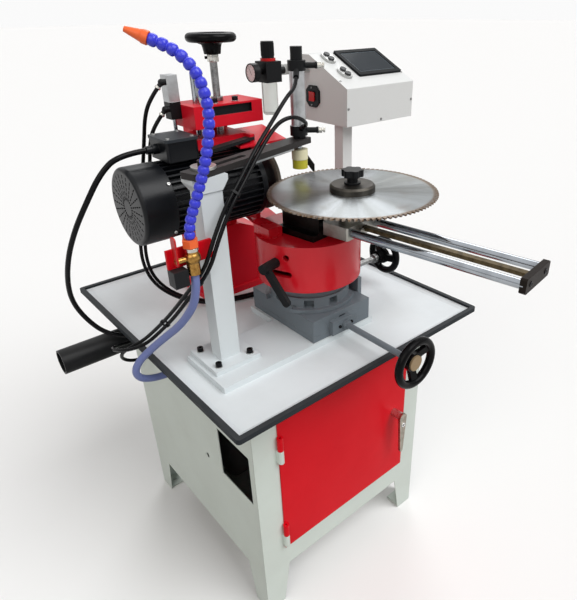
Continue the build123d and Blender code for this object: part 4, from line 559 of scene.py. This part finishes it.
plan, reach = from_axis(abrasive_skin, place, (0, head_y, head_z), (0, 1, 1))
rim = stretch(abrasive_skin, work(abrasive_skin, "SUBTRACT", reach, ask["Rim"]), 0.0, 0.0005)
specks = noise(abrasive_skin, place, 1400.0, 2.0)
grit = blend_tones(abrasive_skin, stretch(abrasive_skin, specks, 0.45, 0.6), ask["Grit"], ask["Body"])
colour = blend_tones(abrasive_skin, rim, ask["Body"], grit)
rough = stretch(abrasive_skin, rim, 0.0, 1.0, 0.4, 0.85)
bump = shade(abrasive_skin, "Bump", {"Strength": 0.3, "Distance": 0.0005, "Height": specks})
give(abrasive_skin, end, Colour=colour, Roughness=rough, Normal=bump.outputs["Normal"])
abrasive_tones = {"Body": tone(38, 38, 40), "Grit": tone(110, 100, 88), "Rim": 0.062}
abrasive = finish("abrasive", abrasive_skin, abrasive_tones)
dress("grinding_wheel", abrasive)


# Stroke cylinder: a small compact air cylinder on the bridge, a bare aluminium block over a black one,
# with a push-in elbow on each. The elbows have nickel collars where the hoses go in.
alloy = metal("alloy", (184, 186, 188), (154, 156, 156), 0.36, size=40.0, lay=(1.0, 1.0, 0.06), score=0.1)
stroke_split, elbow_root = 1.1969, -0.1745
stroke_port_x, stroke_port_y, stroke_ports_z = -0.192, 0.0595, (1.2259, 1.1739)
stroke_hose_way = Vector((-1, 0, -1)).normalized()
stroke_collar_shape = [(-3, 5.6), (-2.6, 6), (1, 6), (1.6, 5.4), (1.6, 4.2)]
dress("stroke_cylinder", black_plastic,
      (alloy, lambda at, way: at.z > stroke_split - sliver and at.x > elbow_root))
stroke_collars = bmesh.new()
for port_z in stroke_ports_z:
    spot = Vector((stroke_port_x, stroke_port_y, port_z))
    lathe(stroke_collars, spot, stroke_hose_way, stroke_collar_shape)
fit("stroke_collars", stroke_collars, "frame", "chrome", nickel)


# Press bar and cylinder: a flat black bar clamped on the column, a bright strip under it, and an air
# cylinder of alloy tube between black caps with flow screws. Its rod carries a cream pad on a yellow foot.
bar_black = painted("bar black", (40, 37, 37), (58, 55, 54), (120, 120, 118), 0.46, shine=0.18, soiling=0.4,
                    chipping=0.5)
cream = moulded("cream pad", (226, 220, 186), 0.5)
yellow = moulded("yellow pad", (205, 196, 60), 0.35, Transmission_Weight=0.2)
press_x, press_y = 0.054, -0.0796
bar_under, strip_low, strip_inset, nose_r = 1.1019, 1.0914, 0.02, 0.024
tube_low, tube_high, tube_r = 1.1409, 1.2509, 0.0165
foot_top, pad_top = 1.0678, 1.0900
flow_ports_z, flow_out = (1.1304, 1.2609), 0.042
flow_way = Vector((0.755, -0.656, 0)).normalized()
flow_shape = [(0, 6), (0.6, 6.6), (8.4, 6.6), (9.1, 6), (9.1, 3.2), (11, 3.2), (11, 5), (11.6, 5.6),
              (15, 5.6), (15.6, 5), (15.6, 2.4), (14, 2.2)]


def off_press_axis(at):
    """How far a point lies from the press cylinder's axis."""
    return math.hypot(at.x - press_x, at.y - press_y)


def is_strip(at, way):
    beside_nose = off_press_axis(at) > nose_r and at.x < press_x - strip_inset
    return beside_nose and strip_low < at.z < bar_under - sliver


def is_tube(at, way):
    return tube_low < at.z < tube_high and off_press_axis(at) < tube_r


dress("press_bar", bar_black, (alloy, is_strip))
dress("press_cylinder", black_plastic, (alloy, is_tube))
dress("press_rod", rod_chrome, (cream, lambda at, way: foot_top < at.z < pad_top),
      (yellow, lambda at, way: at.z < foot_top))
dress("feed_pawl", gun_black)
flow_screws = bmesh.new()
for port_z in flow_ports_z:
    lathe(flow_screws, Vector((press_x, press_y, port_z)) + flow_out * flow_way, flow_way, flow_shape)
fit("flow_screws", flow_screws, "frame", "chrome", nickel)


# Control box: folded sheet coated light grey on a square post and held with small cross-head screws. On
# its slope are a touch panel and two twin push-buttons, on its left wall an inlet with a red rocker.
box_coat = painted("box coat", (218, 220, 220), (196, 197, 195), (150, 150, 148), 0.4, shine=0.22,
                   soiling=0.15)
ring_silver = metal("button bezel", (190, 191, 190), (160, 160, 158), 0.28)
button_grey = moulded("button grey", (66, 68, 70), 0.35)
panel_black = moulded("panel frame", (32, 34, 36), 0.34, shine=0.03, dusting=0.0)
screen_glass = moulded("screen glass", (46, 51, 56), 0.16, shine=0.03, dusting=0.0, grain=0.0)
screen_pale = moulded("screen line", (96, 108, 116), 0.3, edge=0.0)
red_plastic = moulded("red rocker", (190, 16, 20), 0.28, shine=0.3, grain=0.02, dusting=0.0)
box_left, box_front, slope_low, slope_back = 0.238, -0.030, 1.192, 0.111
slope_foot, slope_tilt = Vector((0, box_front, slope_low)), math.atan2(70, 141)
slope_out = Vector((0, -math.sin(slope_tilt), math.cos(slope_tilt)))
slope_up = Vector((0, math.cos(slope_tilt), math.sin(slope_tilt)))
bezel_low, screen_step = 1.195, 0.0046
screen_x, screen_up, screen_out = 400, 100, 4.6
screen_half_w, screen_half_h, line_half_w, line_half_t = 0.062, 0.042, 0.0004, 0.0002
front_screws, front_screw_r = ((0.249, 1.146), (0.365, 1.109), (0.479, 1.147)), 3.4
slope_screws, slope_screw_r = ((250, 34), (350, 152), (478, 135), (478, 44)), 3
wall_screw_y, wall_screws_z, wall_screw_r = 0.097, (1.186, 1.144), 2.6


def off_slope(at):
    """How far a point stands out from the box's sloping face."""
    return (at - slope_foot).dot(slope_out)


def on_slope(x, up, out=0.0):
    """Point on the slope, in millimetres across, up and out."""
    return slope_foot + Vector((x / 1000, 0, 0)) + slope_up * (up / 1000) + slope_out * (out / 1000)


def is_bezel(at, way):
    return off_slope(at) > sliver and at.y < slope_back and at.z > bezel_low


def is_screen(at, way):
    return way.dot(slope_out) > 0.9 and off_slope(at) < screen_step


def plank(mesh, middle, along, across, depth):
    """Flat bar about a middle, with half its length, width and thickness as vectors."""
    spots = []
    for a in (-1, 1):
        for b in (-1, 1):
            for c in (-1, 1):
                spots.append(mesh.verts.new(middle + a * along + b * across + c * depth))
    for corners in ((0, 1, 3, 2), (4, 6, 7, 5), (0, 4, 5, 1), (2, 3, 7, 6), (0, 2, 6, 4), (1, 5, 7, 3)):
        mesh.faces.new([spots[i] for i in corners])


def pan_screw(mesh, root, way, radius):
    """Domed cross-head screw of a radius in millimetres, standing on a point."""
    profile = [(-1, radius), (0.2, radius), (0.45 * radius, 0.86 * radius), (0.62 * radius, 0.55 * radius),
               (0.66 * radius, 0.3 * radius), (0.3 * radius, 0.2 * radius)]
    # The recessed tip takes a second finish; the box screws give it dark metal, painted shade of the cross
    # recess.
    lathe(mesh, root, way, profile, tip=1, sides=20)


dress("box_post", box_coat)
dress("control_box", box_coat, (ring_silver, is_bezel))
for name in ("button_a1", "button_a2", "button_b1", "button_b2"):
    dress(name, button_grey)
dress("touch_panel", panel_black, (screen_glass, is_screen))
dress("power_inlet", black_plastic)
dress("rocker_switch", red_plastic)
screen_line = bmesh.new()
line_depth = slope_out * line_half_t
for side in (-1, 1):
    level_spot = on_slope(screen_x, screen_up + side * screen_half_h * 1000, screen_out)
    level_half = sideways * (screen_half_w + line_half_w)
    plank(screen_line, level_spot, level_half, slope_up * line_half_w, line_depth)
    rising_spot = on_slope(screen_x + side * screen_half_w * 1000, screen_up, screen_out)
    plank(screen_line, rising_spot, sideways * line_half_w, slope_up * screen_half_h, line_depth)
fit("screen_line", screen_line, "frame", "screen", screen_pale)
box_screws = bmesh.new()
for x, z in front_screws:
    pan_screw(box_screws, Vector((x, box_front, z)), forward, front_screw_r)
for x, up in slope_screws:
    pan_screw(box_screws, on_slope(x, up), slope_out, slope_screw_r)
for z in wall_screws_z:
    pan_screw(box_screws, Vector((box_left, wall_screw_y, z)), -sideways, wall_screw_r)
# The screw tips take the dark metal, painted shade of their cross recesses.
fit("box_screws", box_screws, "frame", "steel", turned, painted_recess_shade)


# Air regulator: a black body on a plate from the box, with a gauge, a clear bowl, and a ribbed knob over
# a red ring. The gauge is a white enamelled dial behind a black rim, with printed marks and a needle.
bowl_clear = moulded("bowl clear", (216, 220, 216), 0.12, shine=0.5, dusting=0.1, grain=0.0,
                     Transmission_Weight=0.85)
dial_white = moulded("gauge dial", (246, 247, 247), 0.3)
reg_x, reg_y, bowl_top = 0.110, 0.100, 1.210
plate_x, plate_y = 0.133, 0.1088
gauge_root = Vector((0.060, reg_y, 1.233))
gauge_shape = [(-2, 20.6), (1.6, 20.6), (2.2, 20), (2.2, 18.8), (0.4, 18.4)]
mark_count, first_mark, mark_step, needle_turn = 11, 225, 27, 120
mark_out, mark_r, mark_half_w, print_half_t = 0.0005, 0.0148, 0.0003, 0.0001
long_mark, short_mark = 0.0024, 0.0014
needle_out, needle_r, needle_half_l, needle_half_w = 0.0008, 0.004, 0.009, 0.0004
ring_top = 1.2622
rib_count, ribs_z, ribs_r = 20, 1.281, 0.0149
rib_half_d, rib_half_w, rib_half_h = 0.0008, 0.0009, 0.014
dress("regulator", black_plastic, (bowl_clear, lambda at, way: at.z < bowl_top - sliver),
      (zinc, lambda at, way: at.x > plate_x and at.y > plate_y))
dress("regulator_knob", black_plastic, (red_plastic, lambda at, way: at.z < ring_top + sliver))


def on_dial(degrees):
    """Way from the gauge's middle to its rim, turned up from the reader's right."""
    turn = math.radians(degrees)
    return Vector((0, -math.cos(turn), math.sin(turn)))


gauge = bmesh.new()
lathe(gauge, gauge_root, -sideways, gauge_shape, tip=1, sides=48)
for mark in range(mark_count):
    out = on_dial(first_mark - mark_step * mark)
    middle = gauge_root - sideways * mark_out + out * mark_r
    half_length = long_mark if mark % 5 == 0 else short_mark
    plank(gauge, middle, out * half_length, -sideways.cross(out) * mark_half_w, -sideways * print_half_t)
out = on_dial(needle_turn)
middle = gauge_root - sideways * needle_out + out * needle_r
plank(gauge, middle, out * needle_half_l, -sideways.cross(out) * needle_half_w, -sideways * print_half_t)
fit("gauge_dial", gauge, "frame", "black_plastic", black_plastic, dial_white)
knob_ribs = bmesh.new()
for rib in range(rib_count):
    turn = 2 * math.pi * rib / rib_count
    out = Vector((math.cos(turn), math.sin(turn), 0))
    middle = Vector((reg_x, reg_y, ribs_z)) + out * ribs_r
    plank(knob_ribs, middle, out * rib_half_d, upright.cross(out) * rib_half_w, upright * rib_half_h)
fit("knob_ribs", knob_ribs, "regulator_knob", "black_plastic", black_plastic)


# Coolant valve: a brass ball valve on a red bracket that is bolted to the column over a black block, with
# a red lever, a nickel collar and an orange base nut for the hose.
brass = metal("brass", (170, 130, 70), (120, 86, 42), 0.26, size=120.0)
orange_plastic = moulded("orange plastic", (244, 110, 58), 0.32, shine=0.25, grain=0.05, dusting=0.0,
                         edge=0.0)
valve_x, valve_y, collar_z, nut_low = -0.293, -0.199, 0.985, 0.993
bracket_face, block_right, block_top = -0.186, -0.306, 0.954
valve_collar_shape = [(0, 12), (0.5, 13), (6.5, 13), (7, 12.4)]
dress("coolant_valve", brass, (orange_plastic, lambda at, way: at.z > nut_low - sliver),
      (red_coat, lambda at, way: at.y > bracket_face),
      (lever_black, lambda at, way: at.x < block_right and at.z < block_top + sliver))
dress("valve_lever", red_plastic)
valve_collar = bmesh.new()
lathe(valve_collar, Vector((valve_x, valve_y, collar_z)), upright, valve_collar_shape, sides=40)
fit("valve_collar", valve_collar, "frame", "chrome", nickel)


# Coolant hose: 24 blue plastic segments snapped ball into socket, so that it stays as it is bent, with an
# orange nozzle. Each segment swells to a ball and draws in to a neck.
def route(name, points):
    """Smooth open line with these points, in millimetres, as its control points."""
    curve = bpy.data.curves.new(name, "CURVE")
    curve.dimensions = "3D"
    line = curve.splines.new("NURBS")
    line.points.add(len(points) - 1)
    for spot, point in zip(line.points, points):
        spot.co = [value / 1000 for value in point] + [1]
    line.order_u = 3
    line.use_endpoint_u = True
    line.resolution_u = 16
    piece = bpy.data.objects.new(name, curve)
    bpy.context.scene.collection.objects.link(piece)
    return piece


def points_on(name, points):
    """Points of the smooth line of a route that isn't kept."""
    guide = route(name, points)
    bpy.context.view_layer.update()
    seen = guide.evaluated_get(bpy.context.evaluated_depsgraph_get())
    mesh = bpy.data.meshes.new_from_object(seen)
    found = [vertex.co.copy() for vertex in mesh.vertices]
    bpy.data.meshes.remove(mesh)
    bpy.data.objects.remove(guide)
    return found


def along_line(line, share):
    """Point and direction at a share of a line's length."""
    lengths = [(b - a).length for a, b in zip(line, line[1:])]
    left = share * sum(lengths)
    for a, b, length in zip(line, line[1:], lengths):
        if left <= length:
            return a.lerp(b, left / length), (b - a).normalized()
        left -= length
    return line[-1].copy(), (line[-1] - line[-2]).normalized()


blue_plastic = moulded("blue segments", (54, 60, 214), 0.24, shine=0.4, grain=0.03, dusting=0.0, edge=0.0)
hose_plane = math.radians(-41.5)
hose_out = Vector((math.cos(hose_plane), math.sin(hose_plane), 0))
hose_across = Vector((-math.sin(hose_plane), math.cos(hose_plane), 0))
hose_root = Vector((-293, -199, 1007))
hose_points = [(0, 0), (2, 24), (14, 56), (32, 100), (47, 145), (57, 190), (59, 218), (56, 244), (50, 265),
               (40, 283), (26, 298), (6, 311), (-20, 321)]
hose_bends = [hose_root + out * hose_out + up * upright for out, up in hose_points]
hose_line = points_on("hose_guide", hose_bends)
segments, hose_sides = 24, 40
segment_shape = [(0.0, 6.6), (0.05, 7.0), (0.1, 8.2), (0.16, 8.9), (0.2, 9.2), (0.3, 9.6), (0.45, 9.7),
                 (0.6, 9.5), (0.74, 9.0), (0.85, 8.0), (0.92, 7.0), (0.97, 6.6)]
nozzle_shape = [(-2, 4.5), (-2, 9.8), (-1.4, 10.5), (6, 10.5), (7.5, 10), (8.5, 9.2), (12, 8.6), (30, 5),
                (34, 4.2), (34, 3), (10, 2.5)]
hose = bmesh.new()
rings = []
for segment in range(segments):
    for share, radius in segment_shape:
        spot, way = along_line(hose_line, (segment + share) / segments)
        rings.append(ring_at(hose, spot, way, hose_across, radius / 1000, hose_sides))
skin_rings(hose, rings, 0)
tip, way = along_line(hose_line, 1)
rings = []
for out, radius in nozzle_shape:
    rings.append(ring_at(hose, tip + way * (out / 1000), way, hose_across, radius / 1000, hose_sides))
skin_rings(hose, rings, 1)
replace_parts(fit("ribbed_hose", hose, "frame", "blue_plastic", blue_plastic, orange_plastic), "coolant_hose")


# Cables and hoses: a black rubber motor lead, four black plastic air hoses and the lavender plastic coolant
# supply. Each comes straight out of its fitting, hangs, and goes back into the cabinet or the post.
hose_black = moulded("hose black", (11, 11, 13), 0.22, shine=0.12, grain=0.02, dusting=0.0, edge=0.0)
hose_lavender = moulded("hose lavender", (112, 124, 178), 0.3, shine=0.25, grain=0.05, edge=0.0)
lead_r, air_hose_d, supply_d = 0.0055, 8, 16


def sleeve(mesh, line, radius, sides=24):
    """Round tube of a radius over a line of points."""
    across = (line[1] - line[0]).orthogonal()
    rings = []
    for before, spot, after in zip([line[0]] + line, line, line[1:] + [line[-1]]):
        way = (after - before).normalized()
        across = (across - way * across.dot(way)).normalized()
        rings.append(ring_at(mesh, spot, way, across, radius, sides))
    skin_rings(mesh, rings, 0)
    mesh.faces.new(rings[0][::-1])
    mesh.faces.new(rings[-1])


lead_points = [
    (-256.3, 15, 1119.9), (-312.3, 15, 1119.9), (-350, 22, 1090), (-382, 38, 1036), (-407, 68, 978),
    (-424, 106, 910), (-430, 143, 838), (-425, 166, 780), (-408, 166, 732), (-383, 151, 692),
    (-350, 138, 670), (-310, 129, 662), (-269, 129, 662)]
lead_line = points_on("lead_guide", lead_points)
lead = bmesh.new()
sleeve(lead, lead_line, lead_r)
motor_cable = as_piece("dressed_motor_cable", lead, hose_black)
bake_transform(motor_cable)
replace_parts(motor_cable, "motor_cable")


def free_hose(name, points, diameter, coat):
    """Hose on a smooth line led by the same points as its solid."""
    piece = route("dressed_" + name, points)
    piece.data.bevel_depth = diameter / 2000
    piece.data.bevel_resolution = 6
    piece.data.use_fill_caps = True
    piece.data.materials.append(coat)
    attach(piece, "frame")
    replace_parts(piece, name)


stroke_a_points = [
    (-192, 59.5, 1225.9), (-211.8, 59.5, 1206.1), (-224, 69, 1174), (-225, 92, 1120), (-234, 108, 1050),
    (-246, 116, 975), (-264, 116, 905), (-270, 112, 845), (-254, 108, 790), (-215, 104, 744),
    (-168, 94, 714), (-118, 72, 700), (-61, 55, 698), (0, 41, 698), (68, 32, 698), (136, 29, 699),
    (192, 23, 704), (232, 20, 711), (268, 20, 711)]
stroke_b_points = [
    (-192, 59.5, 1173.9), (-211.8, 59.5, 1154.1), (-222, 70, 1122), (-219, 98, 1065), (-227, 118, 1000),
    (-240, 127, 930), (-254, 127, 868), (-251, 122, 812), (-226, 118, 765), (-185, 112, 727),
    (-138, 97, 705), (-100, 81, 699), (-59, 67, 698), (0, 53, 698), (68, 44, 698), (136, 41, 699),
    (192, 37, 704), (232, 35, 711), (268, 35, 711)]
press_a_points = [
    (32.35, -104.5, 1240.9), (16.6, -122.6, 1226.4), (-22, -141, 1212), (-71, -150, 1167),
    (-118, -162, 1129), (-171, -185, 1086), (-212, -199, 1053), (-249, -206, 1000), (-275, -206, 945),
    (-292, -152, 880), (-309, -92, 812), (-326, -44, 762), (-346, -8, 724), (-369, 14, 706),
    (-382, 38, 685), (-380, 56, 660), (-359, 64, 639), (-328, 68, 630), (-297, 68, 627), (-269, 68, 627)]
press_b_points = [
    (42.7, -110.6, 1142.4), (33.7, -135.3, 1152.0), (12, -147, 1166), (-14, -155, 1176), (-42, -156, 1175),
    (-66, -154, 1161), (-111, -165, 1124), (-164, -188, 1081), (-205, -202, 1048), (-242, -209, 995),
    (-268, -209, 940), (-285, -155, 875), (-302, -97, 806), (-319, -49, 756), (-344, -24, 724),
    (-372, -2, 710), (-390, 28, 700), (-394, 64, 688), (-378, 92, 674), (-346, 106, 664),
    (-306, 109, 658), (-269, 109, 658)]
supply_points = [
    (-293, -199, 940), (-293, -199, 890), (-312, -156, 822), (-334, -106, 774), (-357, -71, 736),
    (-378, -52, 707), (-388, -43, 680), (-378, -38, 655), (-350, -36, 640), (-310, -36, 634),
    (-269, -36, 634)]
dress("cable_ties", black_plastic)
free_hose("stroke_hose_a", stroke_a_points, air_hose_d, hose_black)
free_hose("stroke_hose_b", stroke_b_points, air_hose_d, hose_black)
free_hose("press_hose_a", press_a_points, air_hose_d, hose_black)
free_hose("press_hose_b", press_b_points, air_hose_d, hose_black)
free_hose("supply_hose", supply_points, supply_d, hose_lavender)


# Studio: a plain pale floor under soft light from wide lamps and the world, and a camera that stands where
# the photograph was taken from. Floor and world give less light to the object than they show to the
# camera, and metal and glass mirror a world that is brightest overhead.
floor_half, floor_drop = 60, 0.0005
floor_shown, floor_given = (0.84, 0.84, 0.84, 1), (0.34, 0.32, 0.3, 1)
floor_coat = bpy.data.materials.new("studio floor")
floor_coat.use_nodes = True
tree = floor_coat.node_tree
shader = tree.nodes["Principled BSDF"]
rays = shade(tree, "LightPath", {}).outputs
floor_tone = blend_tones(tree, rays["Is Diffuse Ray"], floor_shown, floor_given)
tree.links.new(floor_tone, shader.inputs["Base Color"])
shader.inputs["Roughness"].default_value = 0.9
shader.inputs["Specular IOR Level"].default_value = 0.0
floor = bmesh.new()
bmesh.ops.create_grid(floor, x_segments=1, y_segments=1, size=floor_half)
studio_floor = as_piece("studio_floor", floor, floor_coat)
studio_floor.location.z = -floor_drop

world_given, world_shown, mirrored_low, mirrored_high = 0.32, 0.96, 0.4, 1.0
world = bpy.data.worlds.new("studio world")
bpy.context.scene.world = world
world.use_nodes = True
tree = world.node_tree
sky = tree.nodes["Background"]
sky.inputs["Color"].default_value = (1, 1, 1, 1)
rays = shade(tree, "LightPath", {}).outputs
way = shade(tree, "TexCoord", {}).outputs["Generated"]
height = shade(tree, "SeparateXYZ", {"Vector": way}).outputs["Z"]
overhead = stretch(tree, height, 0.0, 0.5, mirrored_low, mirrored_high)
mirrored = work(tree, "MAXIMUM", rays["Is Glossy Ray"], rays["Is Transmission Ray"])
strength = shade(tree, "Mix", {0: mirrored, 2: world_given, 3: overhead}).outputs[0]
strength = shade(tree, "Mix", {0: rays["Is Camera Ray"], 2: strength, 3: world_shown}).outputs[0]
tree.links.new(strength, sky.inputs["Strength"])


def lamp(name, toward, share, spread, tint):
    """Soft lamp far off in a direction, giving a share of full white to what faces it."""
    light = bpy.data.lights.new(name, "SUN")
    light.energy = share * math.pi
    light.angle = math.radians(spread)
    light.color = tint
    piece = bpy.data.objects.new(name, light)
    bpy.context.scene.collection.objects.link(piece)
    piece.rotation_euler = Vector(toward).to_track_quat("Z", "Y").to_euler()


white_light, warm_light = (1, 1, 1), (1, 0.94, 0.87)
lamp("key_lamp", (0.25, -0.6, 0.76), 0.73, 45, white_light)
lamp("back_lamp", (0.5, 0.565, 0.66), 0.21, 30, white_light)
lamp("left_lamp", (-0.75, -0.35, 0.56), 0.27, 45, warm_light)

camera_spot = (-0.68524, -1.02446, 1.36515)
azimuth, elevation, roll = (math.radians(angle) for angle in (-41.5, 28.25, -0.52))
level_out = math.cos(elevation)
back = Vector((math.sin(azimuth) * level_out, -math.cos(azimuth) * level_out, math.sin(elevation)))
right = upright.cross(back).normalized()
turned_to = Matrix((right, back.cross(right), back)).transposed() @ Matrix.Rotation(roll, 3, "Z")
camera = bpy.data.objects.new("camera", bpy.data.cameras.new("camera"))
bpy.context.scene.collection.objects.link(camera)
camera.data.sensor_width = 36
camera.data.lens = 32.03
camera.data.shift_x = -0.07505
camera.data.shift_y = -0.00913
camera.data.clip_start = 0.05
camera.matrix_world = Matrix.Translation(camera_spot) @ turned_to.to_4x4()
bpy.context.scene.camera = camera
bpy.context.scene.view_settings.view_transform = "Standard"
